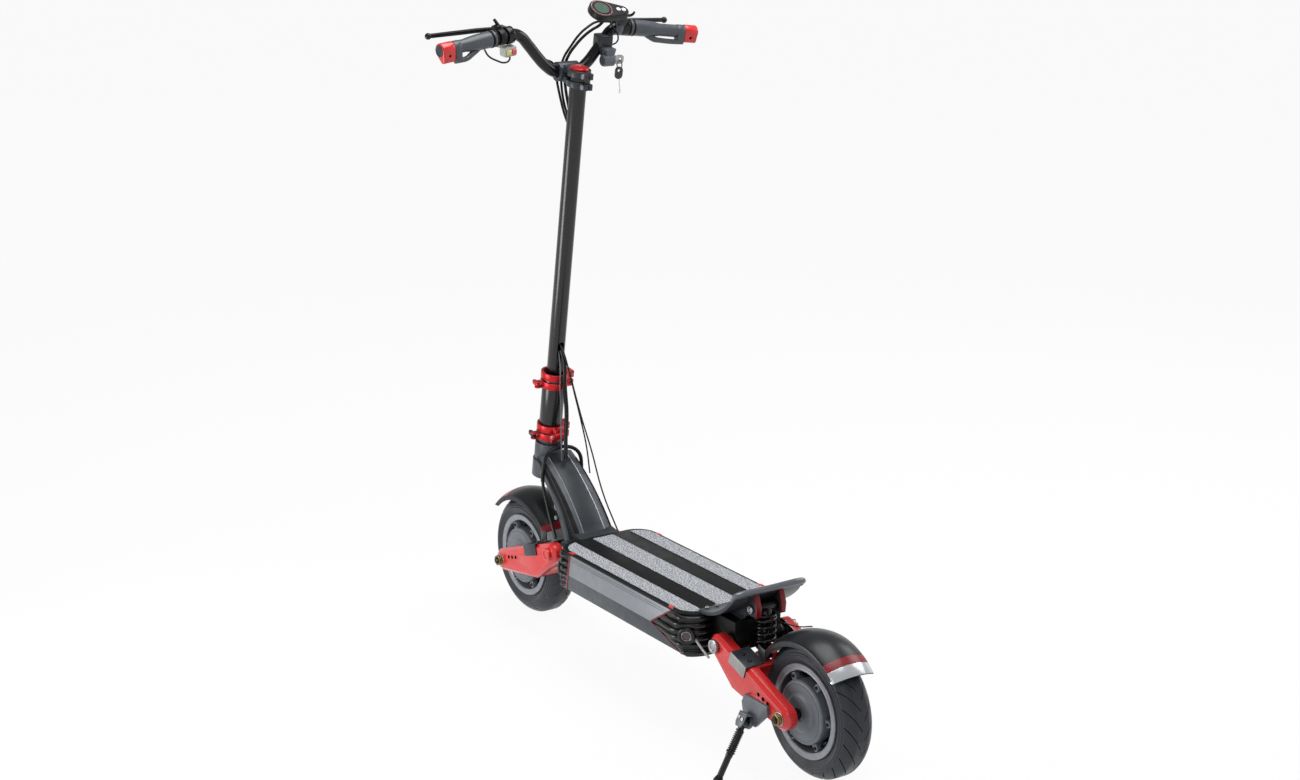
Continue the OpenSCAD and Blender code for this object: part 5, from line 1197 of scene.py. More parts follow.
def makeSpring(side, sizes):
    top = Vector(joints[side + "_shock_top"]["pos_m"]) / mm
    foot = Vector(joints[side + "_shock_foot"]["pos_m"]) / mm
    length = (top - foot).length
    room = length - 2 * sizes["perch"]
    radius = sizes["coilRadius"][side]
    wire = sizes["wire"][side]
    count = int(sizes["turns"] * sizes["points"])
    piece = tubeAlong(helixPoints(radius, sizes["turns"], count, (wire, room - wire)), wire, 3, 3)
    stand = (top - foot).to_track_quat("Z", "Y").to_matrix().to_4x4()
    place = wholeFrame @ Matrix.Translation(foot) @ stand @ Matrix.Translation((0, 0, sizes["perch"]))
    keep(piece, side + "_spring_coil", place, side + "_shock_upper", finishes["springBlack"],
         (side + "_spring",))
    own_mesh(piece)


for side in ("front", "rear"):
    makeSpring(side, springSizes)
print("springs made")

# Kickstand: knuckle, leg, return spring and rubber foot

standSizes = {
    "place": (-413, 106, 98),
    "lean": 29,
    "line": 2,
    "knuckle": [(4.1, -3.4), (10, -3.4), (10, 8), (4.1, 8)],
    "leg": [(0, -107), (5.4, -107), (6, -105.5), (6, -70), (6.6, -69), (6.6, -62), (6, -61), (6, -4),
            (0, -4)],
    "collars": ((-18, 8), (-60, 8.4)),  # height and radius
    "collarBore": 5.8,
    "collarHalf": 1.6,
    "foot": [(0, -130), (8.5, -130), (9.4, -124), (9.2, -116), (7.6, -110), (6.1, -107), (0, -107)],
    "coilRadius": 7.3,
    "coilWire": 1.1,
    "coilTurns": 10,
    "coilPoints": 12,  # points in a turn
    "coil": (-58, -20),  # from and to, along the leg
    "cheek": [(-11, 16), (11, 16), (11, -4), (7, -12), (-7, -12), (-11, -4)],
    "cheekFrom": 9.6,
    "cheekTo": 12.4,
    "web": ((-11, -9, 13.2), (11, 12.4, 16)),
    "bolts": ((-5, 3), (5, 5)),
    "boltHead": (3.2, 2.2),  # radius and height
    "boltSink": 0.2,
    "groundGap": 0.2,  # the foot is cut flat this high above the ground
}


def makeKickstand(sizes):
    lean = Matrix.Rotation(math.radians(sizes["lean"]), 4, "X")
    place = wholeFrame @ Matrix.Translation(sizes["place"]) @ lean
    shaft = place @ Matrix.Translation((0, sizes["line"], 0))
    knuckle = bevelEdges(spinProfile(sizes["knuckle"], 40), 1)
    keep(knuckle, "stand_knuckle", place, "stand", finishes["satinBlack"], ("kickstand_leg",))
    leg = movePiece(spinProfile(sizes["leg"], 32), upright)
    keep(leg, "stand_leg", shaft, "stand", finishes["satinBlack"], ("kickstand_leg",))
    rings = []
    for height, radius in sizes["collars"]:
        bore, low, high = sizes["collarBore"], height - sizes["collarHalf"], height + sizes["collarHalf"]
        ring = spinProfile([(bore, low), (radius, low), (radius, high), (bore, high)], 32)
        rings.append(movePiece(bevelEdges(ring, 0.5), upright))
    keep(joinPieces(rings), "stand_collars", shaft, "stand", finishes["satinBlack"])
    count = sizes["coilTurns"] * sizes["coilPoints"]
    points = helixPoints(sizes["coilRadius"], sizes["coilTurns"], count, sizes["coil"])
    coil = tubeAlong(points, sizes["coilWire"], 2, 3)
    keep(coil, "stand_spring", shaft, "stand", finishes["springBlack"], ("kickstand_leg",))
    foot = movePiece(movePiece(spinProfile(sizes["foot"], 32), upright), shaft)
    sliceOff(foot, sizes["groundGap"] * mm, dropsAbove=False)
    keep(foot, "stand_foot", Matrix.Identity(4), "stand", finishes["blackPlastic"],
         ("kickstand_leg",))
    cheek = bevelEdges(sideSolid(sizes["cheek"], sizes["cheekFrom"], sizes["cheekTo"]), 0.8)
    keep(joinPieces([cheek, boxSolid(*sizes["web"], 0.8)]), "stand_bracket_cheek", place, "rear_arm",
         finishes["frameGrey"])
    heads = []
    for x, z in sizes["bolts"]:
        spot = Matrix.Translation((x, sizes["cheekTo"] - sizes["boltSink"], z))
        heads.append(movePiece(boltHead(*sizes["boltHead"]), spot @ sideways))
    keep(joinPieces(heads), "stand_bracket_bolts", place, "rear_arm", finishes["steel"])


makeKickstand(standSizes)
print("kickstand made")

# Deck trim: lines along the sides, red corner marks and corner lamps

deckSizes = {
    "half": 236,  # half of its length
    "top": 240,
    "crease": (116, 197),  # half width and height of the side's fold
    "shoulder": (107, 235),
    "lines": (229.5, 225.5),
    "lineHeight": 0.9,
    "lineDepth": 0.4,
    "lineProud": 0.12,
    "rearStart": {229.5: -168, 225.5: -162},
    "frontStop": 174,
    "marks": {-174: 4, 174: -2},  # place and lean
    "mark": (15, 8, 0.7),
    "markEdge": 107.6,
    "markSink": 0.4,
    "cornerAt": (182, 62, 197),
    "cornerRadius": 54,
    "bezel": [(9, 50), (16.6, 50), (16.6, 58), (15, 59.6), (11.4, 59.6), (9.4, 58)],
    "chrome": [(7.8, 52), (9.6, 52), (9.6, 58.6), (9, 59.2), (8.4, 59), (7.8, 58)],
    "lens": [(0, 52), (7.9, 52), (7.9, 57), (5.4, 57.7), (2.6, 58.1), (0, 58.2)],
}


def makeDeckTrim(sizes):
    creaseY, creaseZ = sizes["crease"]
    shoulderY, shoulderZ = sizes["shoulder"]
    for face, label in sideNames.items():
        lines = []
        for height in sizes["lines"]:
            low, high = height - sizes["lineHeight"] / 2, height + sizes["lineHeight"] / 2
            depth, proud = -sizes["lineDepth"], sizes["lineProud"]
            points = []
            for z, out in ((low, depth), (low, proud), (high, proud), (high, depth)):
                share = (z - creaseZ) / (shoulderZ - creaseZ)
                points.append((face * (between((creaseY, shoulderY), share) + out), z))
            line = outlineSolid(points, sizes["rearStart"][height], sizes["frontStop"])
            lines.append(movePiece(line, lengthways))
        keep(joinPieces(lines), label + "_side_lines", wholeFrame, "chassis", finishes["frameDark"])
    marks = []
    length, width, height = sizes["mark"]
    low, high = sizes["markEdge"] - width, sizes["markEdge"]
    for x, lean in sizes["marks"].items():
        for face in sideNames:
            points = [(x - length / 2 + lean, face * low), (x + length / 2 + lean, face * low),
                      (x + length / 2 - lean, face * high), (x - length / 2 - lean, face * high)]
            mark = outlineSolid(points, sizes["top"] - sizes["markSink"], sizes["top"] + height)
            marks.append(bevelEdges(mark, 0.3))
    keep(joinPieces(marks), "corner_marks", wholeFrame, "chassis", finishes["redPaint"])
    for end, endLabel in endNames.items():
        for face, label in sideNames.items():
            x, y, z = sizes["cornerAt"]
            aim = math.atan2(face, end) - math.pi / 2
            place = wholeFrame @ Matrix.Translation((end * x, face * y, z)) @ Matrix.Rotation(aim, 4, "Z")
            name = endLabel + "_" + label + "_lamp"
            for part, finish in (("bezel", "capBlack"), ("chrome", "steel"), ("lens", "lensClear")):
                keep(spinProfile(sizes[part], 48), name + "_" + part, place, "chassis", finishes[finish],
                     ("deck_lamps",))


makeDeckTrim(deckSizes)

# Rounded ribs round the corners of the end caps

ribSizes = {
    "heights": (162, 177, 190, 203, 216, 229),
    "radius": 5,
    "sink": 2,
    "belly": (100, 155),
    "stop": 54,  # where the ribs end, from the middle
    "gap": 9,  # from the chevron's edge to a rib's start
    "shortest": 6,  # the least straight part
    "arcSteps": 6,
    "taper": (0.5, 0.7),  # share of the radius at both ends
    "chevrons": {1: (32, 63, 57), -1: (32, 112, 57)},  # cap length at the belly, the crease and the plate
}


def makeCapRibs(end, face, sizes):
    creaseY, creaseZ = deckSizes["crease"]
    shoulderY, shoulderZ = deckSizes["shoulder"]
    bellyY, bellyZ = sizes["belly"]
    low, middle, high = sizes["chevrons"][end]
    cornerX, cornerY, _ = deckSizes["cornerAt"]
    ribs = []
    for z in sizes["heights"]:
        if z < creaseZ:
            share = (z - bellyZ) / (creaseZ - bellyZ)
            width = between((bellyY, creaseY), share)
            length = between((low, middle), share)
        else:
            share = (z - creaseZ) / (shoulderZ - creaseZ)
            width = between((creaseY, shoulderY), share)
            length = between((middle, high), share)
        route = []
        turn = math.asin((width - cornerY) / deckSizes["cornerRadius"])
        straight = deckSizes["half"] - length + sizes["gap"]
        edge = cornerX + deckSizes["cornerRadius"] * math.cos(turn)
        if straight < edge - sizes["shortest"]:
            route.append((straight, width - sizes["sink"]))
            route.append(((straight + edge) / 2, width - sizes["sink"]))
        reach = deckSizes["cornerRadius"] - sizes["sink"]
        for i in range(sizes["arcSteps"] + 1):
            lean = turn * (1 - i / sizes["arcSteps"])
            point = (cornerX + reach * math.cos(lean), cornerY + reach * math.sin(lean))
            if point[0] > straight:
                route.append(point)
        route.append((cornerX + reach, sizes["stop"]))
        points = [(end * x, face * y, z) for x, y in route]
        first, last = sizes["taper"]
        ribs.append(tubeAlong(points, sizes["radius"], 4, 6, [first] + [1] * (len(points) - 2) + [last]))
    label = endNames[end] + "_" + sideNames[face]
    keep(joinPieces(ribs), label + "_cap_ribs", wholeFrame, "chassis", finishes["capBlack"])


for end in endNames:
    for face in sideNames:
        makeCapRibs(end, face, ribSizes)
print("deck trim made")

# Kick plate: a rising concave sheet with a round lip on two gussets

kickSizes = {
    "from": (-226, 243.5),
    "turn": (-292, 243.5),
    "to": (-340, 307),
    "thick": 7,
    "faces": (4, 28),  # across and along the sheet
    "half": 78,
    "cornerIn": 5,  # how far the sheet narrows
    "cornerFrom": 0.85,  # from this share of its length
    "lip": 6.4,
    "lipMiddle": (-1, 1),  # offset from the sheet's end
    "lipBend": ((9, 1, -12, 0.4), (1, -1, -1, 0.85), (-1, -10, 1, 1)),  # offsets and share of the radius
    "gusset": (23, 33),
    "gussetFoot": [(-262, 240), (-300, 240)],
    "gussetJoin": (0.9, 0.3, 7),  # along the sheet, from, to and points
    "gussetTop": 0.95,
    "pin": (-330, 270),
    "pinRoom": ((12, -14), (-12, -14), (-14, 6)),  # corners of the gusset round the pin
    "edgeWidth": 3,
    "edgeProud": 0.6,
}


def kickPoint(sizes, share):
    first, middle, last = (Vector(sizes[key]) for key in ("from", "turn", "to"))
    return (1 - share) ** 2 * first + 2 * share * (1 - share) * middle + share ** 2 * last


def makeKickPlate(sizes):
    def place(u, v):
        point = kickPoint(sizes, v)
        half = sizes["half"] - sizes["cornerIn"] * max(0, v - sizes["cornerFrom"]) / (1 - sizes["cornerFrom"])
        return (point.x, half * (2 * u - 1), point.y)

    sheet = bevelEdges(thickSheet(*sizes["faces"], sizes["thick"], place), 1.4, 3, 50)
    keep(sheet, "kick_sheet", wholeFrame, "chassis", finishes["frameDark"], ("kick_plate",), 50)
    endX, endZ = sizes["to"]
    bend = [(endX + x, sizes["half"] + out, endZ + up) for x, out, up, _ in sizes["lipBend"]]
    shares = [share for _, _, _, share in sizes["lipBend"]]
    lip = [(x, -y, z) for x, y, z in bend]
    lip += [(endX + sizes["lipMiddle"][0], 0, endZ + sizes["lipMiddle"][1])] + bend[::-1]
    # the lip's lighter grey is partly painted sheen
    keep(tubeAlong(lip, sizes["lip"], 6, 8, shares + [1] + shares[::-1]), "kick_lip", wholeFrame,
         "chassis", finishes["lipGreyAndPaintedSheen"], ("kick_plate",))
    front, low, high = (tuple(Vector(sizes["pin"]) + Vector(corner)) for corner in sizes["pinRoom"])
    rear = [tuple(kickPoint(sizes, sizes["gussetTop"])), high, low]
    first, last, count = sizes["gussetJoin"]
    join = [tuple(kickPoint(sizes, first + (last - first) * i / (count - 1))) for i in range(count)]
    outline = sizes["gussetFoot"] + [front] + rear[::-1] + join
    for face, label in sideNames.items():
        low, high = sizes["gusset"]
        across = wholeFrame @ Matrix.Diagonal((1, face, 1, 1))
        gusset = bevelEdges(sideSolid(outline, low, high), 1)
        keep(gusset, label + "_gusset", across, "chassis", finishes["frameDark"],
             ("kick_plate",))
        strip = rear + [(x - sizes["edgeWidth"], z) for x, z in reversed(rear)]
        edge = bevelEdges(sideSolid(strip, low - sizes["edgeProud"], high + sizes["edgeProud"]), 0.6)
        keep(edge, label + "_gusset_edge", across, "chassis", finishes["redTrim"])


makeKickPlate(kickSizes)
print("kick plate made")

# Neck: painted highlights as light lines where its flat top meets the slopes, and near-black strips of painted
# shade on the slopes

neckSizes = {
    "start": (252, 236),
    "end": (414.9, 377.9),
    "bow": 13,
    "width": (92, 81),
    "flat": 0.55,
    "line": (0.04, 0.94),  # from and to, along the neck
    "highlightSteps": 14,
    "highlightSink": 0.3,
    "highlightRadius": 1,
    "highlightFinish": {1: "bracketGrey", -1: "neckPaintedHighlight"},  # painted highlights, bright on the right, dimmer on the left
    "edge": 5,  # drop of the sloping side
    "shadeStrip": (0.03, 0.86),  # near-black strip of painted shade along the sloping side, from and to
    # its upper edge at foot and top, as a share of the slope
    "shadeStripUpper": {1: (0.42, 0.66), -1: (0.84, 0.88)},
    "shadeStripLower": (0.96, 0.94),
    "shadeStripLift": 0.5,
    "shadeStripThick": 2,
    "shadeStripFaces": (6, 40),  # across and along
}


def neckPoint(sizes, share, out):
    first, last = Vector(sizes["start"]), Vector(sizes["end"])
    along = (last - first).normalized()
    across = Vector((-along.y, along.x))
    return first + (last - first) * share + (4 * sizes["bow"] * share * (1 - share) + out) * across


# light tubes along the edges of the neck's flat top: painted highlights
def makeNeckPaintedHighlights(sizes):
    for face, label in sideNames.items():
        points = []
        for i in range(sizes["highlightSteps"] + 1):
            share = between(sizes["line"], i / sizes["highlightSteps"])
            point = neckPoint(sizes, share, -sizes["highlightSink"])
            points.append((point.x, face * sizes["flat"] * between(sizes["width"], share) / 2, point.y))
        line = tubeAlong(points, sizes["highlightRadius"], 3, 4)
        finish = finishes[sizes["highlightFinish"][face]]
        keep(line, label + "_neck_painted_highlight", wholeFrame, "chassis", finish)


# near-black sheets laid on the slopes: painted shade of the gap to the fork, thin on the right
def makeNeckShadeStrips(sizes):
    for face, label in sideNames.items():

        def place(u, v):
            share = between(sizes["shadeStrip"], v)
            part = between((between(sizes["shadeStripUpper"][face], v), between(sizes["shadeStripLower"], v)), u)
            half = between(sizes["width"], share) / 2
            slope = Vector((half * (1 - sizes["flat"]), -sizes["edge"]))
            lift = Vector((sizes["edge"], slope.x)).normalized() * sizes["shadeStripLift"]
            point = neckPoint(sizes, share, slope.y * part + lift.y)
            return (point.x, face * (half * sizes["flat"] + slope.x * part + lift.x), point.y)

        shadeStrip = thickSheet(*sizes["shadeStripFaces"], sizes["shadeStripThick"], place)
        keep(bevelEdges(shadeStrip, 0.25, angle=50), label + "_neck_shade_strip", wholeFrame, "chassis",
             finishes["blackAndPaintedShade"], (), 50)


makeNeckPaintedHighlights(neckSizes)
makeNeckShadeStrips(neckSizes)
print("neck painted highlights and shade strips made")

forkBoltSizes = {"radius": 4.4, "height": 4, "place": (337.5, 40, 256.4)}
forkBolt = boltHead(forkBoltSizes["radius"], forkBoltSizes["height"])
movePiece(forkBolt, Matrix.Translation(forkBoltSizes["place"]) @ sideways)
keep(forkBolt, "fork_bolt", wholeFrame, "fork", finishes["steel"])

# Small clamp levers of the fold ring and the collar, and the stem's domed cap

leverSizes = {
    "pivot": (4, 37),
    "plan": [(0, 0, 5.4), (15, -1.5, 4.2)],
    "pinHole": 3.3,
    "low": 3.2,
    "high": 10.8,
    "cut": (0, 14),
    "levers": {"fold_lever": ("fold_catch", 407.9, "satinBlack"),
               "collar_lever": ("collar_catch", 523, "redAnodised")},
}


def makeClampLevers(sizes):
    for node, (body, height, finish) in sizes["levers"].items():
        lever = outlineSolid(hullOutline(sizes["plan"]), sizes["low"], sizes["high"])
        cutWith(lever, outlineSolid(hullOutline([(0, 0, sizes["pinHole"])], 28), *sizes["cut"]))
        bevelEdges(lever, 1)
        place = steerFrame @ Matrix.Translation((sizes["pivot"][0], sizes["pivot"][1], height))
        keep(lever, node + "_arm", place, body, finishes[finish], (node,))


makeClampLevers(leverSizes)

capProfile = [(0, 1188), (14, 1188), (14, 1196.1), (18.8, 1196.1), (19, 1198.4), (17.6, 1200.6), (13, 1202),
              (7.4, 1202.6), (6.6, 1201.6), (0, 1201.6)]
keep(movePiece(spinProfile(capProfile, 64), upright), "stem_cap_dome", steerFrame, "stem",
     finishes["redAnodised"], ("stem_cap",))
print("levers and cap made")

# Handlebar and its grips


def makeHandlebar(sizes):
    sweep, droop = math.radians(sizes["sweep"]), math.radians(sizes["droop"])
    ahead = Vector((-math.sin(sweep) * math.cos(droop), math.cos(sweep) * math.cos(droop), -math.sin(droop)))
    root = Vector(sizes["root"])
    half = sizes["rise"] + [tuple(root + run * ahead) for run in (0, sizes["settle"], sizes["run"])]
    points = [(x, -y, z) for x, y, z in reversed(half)] + half
    bar = tubeAlong(points, sizes["radius"], 8, 10)
    keep(bar, "bar_tube", steerFrame, "stem", finishes["satinBlack"], ("handlebar",))


makeHandlebar(barSizes)

gripSizes = {
    "start": {1: 56, -1: 31},  # left and right, along the bar's straight end
    "stop": 144,
    "bore": 11.3,
    "radius": 16,
    "waist": 12.6,
    "swell": [(-0.8, 0), (0, 1.2), (0, 26), (-0.8, 38)],  # added to the radius, from the start
    "neck": [(1.4, 50), (0, 60)],  # added to the waist, from the start
    "tail": [(0, -12), (1, 0)],  # added to the waist, from the stop
    "palm": {1: (-9, -23), -1: (-8, -19.5)},
    "palmRadius": 5.2,
    "palmFrom": 60,
    "palmRoot": [(-3, 22, -8), (-5, 36, -13.5), (-7, 48, -18.5)],  # y from the start
    "palmTail": [(-14, -0.5), (0, 0.6)],  # from the stop, and added to the height
    "palmShares": [0.9, 1.15, 1.1, 1, 1, 1.05],
    "webLength": 15,
    "webMore": 1,  # over the waist
    "cutPast": 5,
    "capGap": 0.3,
    "capLength": 29,
    "capMore": 1.8,  # over the waist
    "capPalm": (1, 5, 0.5),  # added to the palm's place and radius
    "capHole": (14, -9),  # from the cap's root, and height
    "capHoleRadius": 3.1,
    "capHoleFrom": -22,
    "capHoleLength": 14,
    "holeFloor": -10.5,
    "holeFloorThick": 2,
    "holeFloorGap": 0.1,
    "plug": [(0, -2), (11.4, -2), (11.4, 0.6), (10.4, 1.8), (9, 1.2), (8.4, 0.6), (0, 0.6)],  # y from the end
    "ringRadius": 17,
    "ringGap": 13,
    # from, to, more radius and finish
    "rings": {"inner_band": (0, 3.4, 0, "blackAndPaintedShade"), "lock_ring": (3.6, 9, -0.6, "gripGrey"),
              "outer_band": (9.2, 12.6, 0, "blackAndPaintedShade")},
}


def makeGrip(side, sizes):
    label = sideNames[side]
    place = gripFrame(side)
    start, stop = sizes["start"][side], sizes["stop"]
    bore, radius, waist = sizes["bore"], sizes["radius"], sizes["waist"]
    profile = [(bore, start)] + [(radius + more, start + y) for more, y in sizes["swell"]]
    profile += [(waist + more, start + y) for more, y in sizes["neck"]]
    profile += [(waist + more, stop + y) for more, y in sizes["tail"]] + [(bore, stop)]
    grip = spinProfile(profile, 48)
    keep(grip, label + "_grip", place, "stem", finishes["gripGrey"], ("grips",))
    palmX, palmZ = sizes["palm"][side]
    wing = [(x, start + y, z) for x, y, z in sizes["palmRoot"]] + [(palmX, start + sizes["palmFrom"], palmZ)]
    wing += [(palmX, stop + y, palmZ + more) for y, more in sizes["palmTail"]]
    keep(tubeAlong(wing, sizes["palmRadius"], 6, 8, sizes["palmShares"]), label + "_palm_rest", place,
         "stem", finishes["gripGrey"], ("grips",))
    webPlan = hullOutline([(0, 0, waist + sizes["webMore"]), (palmX, palmZ, sizes["palmRadius"])])
    webStart, past = stop - sizes["webLength"], sizes["cutPast"]
    web = sideSolid(webPlan, webStart, stop)
    cutWith(web, sideSolid(hullOutline([(0, 0, bore)]), webStart - past, stop + past))
    keep(bevelEdges(web, 1.5), label + "_palm_web", place, "stem", finishes["gripGrey"])
    lock = start - sizes["ringGap"]
    for part, (low, high, more, finish) in sizes["rings"].items():
        edge = sizes["ringRadius"] + more
        section = [(bore, lock + low), (edge, lock + low), (edge, lock + high), (bore, lock + high)]
        ring = bevelEdges(spinProfile(section, 48), 0.6)
        keep(ring, label + "_" + part, place, "stem", finishes[finish], ("grips",))
    last = stop + sizes["capLength"]
    moreX, moreZ, moreRadius = sizes["capPalm"]
    capPlan = hullOutline([(0, 0, waist + sizes["capMore"]),
                           (palmX + moreX, palmZ + moreZ, sizes["palmRadius"] + moreRadius)])
    cap = bevelEdges(sideSolid(capPlan, stop + sizes["capGap"], last), 2.4, 3)
    holeY, holeZ = stop + sizes["capHole"][0], sizes["capHole"][1]
    holeRadius = sizes["capHoleRadius"]
    inwards = Matrix.Rotation(-math.pi / 2, 4, "Z")  # turns a piece's y axis to x
    hole = sideSolid(hullOutline([(0, 0, holeRadius)], 28), 0, sizes["capHoleLength"])
    cutWith(cap, movePiece(hole, Matrix.Translation((sizes["capHoleFrom"], holeY, holeZ)) @ inwards))
    keep(cap, label + "_end_cap", place, "stem", finishes["redPaint"], ("grip_end_caps",))
    # the hole's floor is a near-black disc, painted shade inside the hole
    floorPlan = hullOutline([(0, 0, holeRadius - sizes["holeFloorGap"])], 28)
    bottom = sideSolid(floorPlan, 0, sizes["holeFloorThick"])
    movePiece(bottom, Matrix.Translation((sizes["holeFloor"], holeY, holeZ)) @ inwards)
    keep(bevelEdges(bottom, 0.4), label + "_cap_hole", place, "stem", finishes["blackAndPaintedShade"])
    plug = spinProfile([(size, last + y) for size, y in sizes["plug"]], 40)
    keep(plug, label + "_end_plug", place, "stem", finishes["frameDark"])


for side in sideNames:
    makeGrip(side, gripSizes)
print("handlebar and grips made")

# Switch pod under the left grip's root, with a stick above the bar

podSizes = {
    "ring": [(11.3, 23), (15.4, 23), (15.4, 37), (11.3, 37)],
    "box": ((-17, 3, -38), (3, 31, -19)),
    "neck": ((-7, 23.4, -20), (7, 36.6, -8)),
    "stickBase": ((2, 24, 9), (15, 36, 22)),
    "stick": [(9, 28, 20), (10, 32, 27), (11, 36, 33)],
    "stickRadius": 3.3,
    "stickShares": [1.2, 1, 0.9],
    "buttons": {"yellow_button": ("yellow_key", 22.6, "yellowButton", "yellow_button"),
                "red_button": ("red_key", 10.4, "redButton", "red_trim")},
    "buttonHalf": 4.9,
    "buttonFrom": -20.4,
    "buttonTo": -14,
    "buttonHeight": -28.5,
}


def makePod(sizes):
    place = gripFrame(1)
    ring = bevelEdges(spinProfile(sizes["ring"], 48), 0.9)
    keep(ring, "pod_ring", place, "stem", finishes["blackPlastic"], ("switch_pod",))
    keep(boxSolid(*sizes["box"], 2.6), "pod_box", place, "stem", finishes["podGrey"],
         ("switch_pod",))
    keep(boxSolid(*sizes["neck"], 1.4), "pod_neck", place, "stem", finishes["podGrey"])
    keep(boxSolid(*sizes["stickBase"], 2.2), "stick_base", place, "stem", finishes["blackPlastic"])
    keep(tubeAlong(sizes["stick"], sizes["stickRadius"], 5, 8, sizes["stickShares"]), "stick", place, "stem",
         finishes["satinBlack"])
    for node, (body, y, finish, slot) in sizes["buttons"].items():
        half = sizes["buttonHalf"]
        low = (sizes["buttonFrom"], y - half, sizes["buttonHeight"] - half)
        high = (sizes["buttonTo"], y + half, sizes["buttonHeight"] + half)
        keep(boxSolid(low, high, 1.4), node + "_cap", place, body, finishes[finish], (node,))


makePod(podSizes)
print("switch pod made")

# Display over the right bend: housing, ring, screen and two buttons

displaySizes = {
    "tilt": 26,
    "place": (-35, -60, 42),
    "shift": -3,
    "main": (0, 0, 25),
    "tail": (0, 46, 13.5),
    "height": 15,
    "ring": [(20.8, -0.6), (22, -0.6), (22, 0.5), (20.8, 0.5)],
    "glass": [(0, -0.5), (20.4, -0.5), (20.4, 0.35), (0, 0.35)],
    "screen": [(0, 0.2), (15.6, 0.2), (15.6, 0.55), (0, 0.55)],
    "buttons": {"mode_button": ("mode_key", 36.5, "whiteButton", "white_button"),
                "power_button": ("power_key", 48, "whiteButton", "red_trim")},
    "buttonRadius": 4.6,
    "buttonFrom": -3,
    "buttonTo": 1.5,
    "clamp": [(11.3, -13), (17.2, -13), (17.2, 2.4), (11.3, 2.4)],
    "stub": ((-26, -13, 8), (-2, 2, 30)),
    "boss": (16, 56, 6.4),  # place and radius
    "bossRoot": (4, 46, 7),
    "bossFrom": -15.7,
    "bossTo": -12,
    "trigger": [(16, 56, -18.6), (12, 62, -21), (10, 69, -21), (9, 74.5, -17), (9, 76.5, -10)],
    "triggerRadius": 3,
    "triggerShares": [1.1, 1.1, 1, 0.9, 0.7],
    "triggerHub": [(0, -21.4), (6, -21.4), (6, -15.8), (0, -15.8)],
}


def makeDisplay(sizes):
    grip = gripFrame(-1)
    tilt = Matrix.Rotation(-math.radians(sizes["tilt"]), 4, "Y")
    pivotPlace = grip @ Matrix.Translation(sizes["place"]) @ tilt
    place = pivotPlace @ Matrix.Translation((0, sizes["shift"], 0))
    housing = outlineSolid(hullOutline([sizes["main"], sizes["tail"]], 64), -sizes["height"], 0)
    bevelEdges(housing, 2.2, 3)
    keep(housing, "display_case", place, "stem", finishes["blackPlastic"],
         ("display_housing",))
    for part, finish, slot, replaced in (("ring", "ringPink", "red_trim", ()),
                                         ("glass", "blackAndPaintedShade", "screen", ("display_glass",)),
                                         ("screen", "screenGlass", "screen", ("display_glass",))):
        keep(movePiece(spinProfile(sizes[part], 64), upright), "display_" + part, place, "stem",
             finishes[finish], replaced)
    for node, (body, y, finish, slot) in sizes["buttons"].items():
        button = outlineSolid(hullOutline([(0, y, sizes["buttonRadius"])], 32), sizes["buttonFrom"],
                              sizes["buttonTo"])
        keep(bevelEdges(button, 0.9), node + "_cap", place, body, finishes[finish], (node,))
    clamp = bevelEdges(spinProfile(sizes["clamp"], 48), 0.9)
    keep(clamp, "display_clamp", grip, "stem", finishes["frameGrey"], ("display_housing",))
    keep(boxSolid(*sizes["stub"], 2.4), "display_stub", grip, "stem", finishes["frameDark"])
    bossX, bossY, _ = sizes["boss"]
    bossPlan = hullOutline([sizes["boss"], sizes["bossRoot"]], 40)
    boss = outlineSolid(bossPlan, sizes["bossFrom"], sizes["bossTo"])
    keep(bevelEdges(boss, 1.2), "trigger_boss", pivotPlace, "stem", finishes["blackPlastic"])
    hub = movePiece(bevelEdges(spinProfile(sizes["triggerHub"], 32), 0.8), upright)
    movePiece(hub, Matrix.Translation((bossX, bossY, 0)))
    finger = tubeAlong(sizes["trigger"], sizes["triggerRadius"], 5, 8, sizes["triggerShares"])
    keep(joinPieces([hub, finger]), "trigger_finger", pivotPlace, "throttle", finishes["satinBlack"],
         ("throttle_lever",))


makeDisplay(displaySizes)
print("display made")

# Key switch under the right bend, and the fob's strap

keySizes = {
    "at": (24, -80, 1202),
    "clamp": ((35, -97, 1214), (67, -69, 1247)),
    "bracket": [(-95, 1226), (-71, 1226), (-74, 1206), (-90, 1206)],
    "bracketFrom": 17,
    "bracketTo": 44,
    "barrel": [(4.4, -12.4), (10.6, -12.4), (12, -11), (12, 9), (11.2, 10), (11.2, 12), (10, 13), (0, 13),
               (0, 11), (4.4, 11)],
    "strap": [(0, 0, 1.5), (0.6, 0.4, -8), (-0.4, -0.6, -18), (0.2, 0.2, -27)],  # from the fob's lower edge
    "strapRadius": 0.8,
    "strapShares": [1, 1, 1, 1.6],
}


def makeKeySwitch(sizes):
    clamp = boxSolid(*sizes["clamp"], 3)
    keep(clamp, "key_clamp", steerFrame, "stem", finishes["frameDark"], ("key_switch",))
    bracket = outlineSolid(sizes["bracket"], sizes["bracketFrom"], sizes["bracketTo"])
    movePiece(bracket, lengthways)
    keep(bevelEdges(bracket, 1.6), "key_bracket", steerFrame, "stem", finishes["frameGrey"],
         ("key_switch",))
    barrel = spinProfile(sizes["barrel"], 48)
    keep(barrel, "key_barrel", steerFrame @ Matrix.Translation(sizes["at"]), "stem", finishes["frameGrey"],
         ("key_switch",))
    low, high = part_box("key_fob")
    middle = Vector(((low.x + high.x) / 2, (low.y + high.y) / 2, low.z)) / mm
    strap = tubeAlong(sizes["strap"], sizes["strapRadius"], 2, 8, sizes["strapShares"])
    keep(strap, "fob_strap", wholeFrame @ Matrix.Translation(middle), "fob", finishes["strapPale"])


makeKeySwitch(keySizes)
print("key switch made")

# Cables on the handlebar, in the steering frame

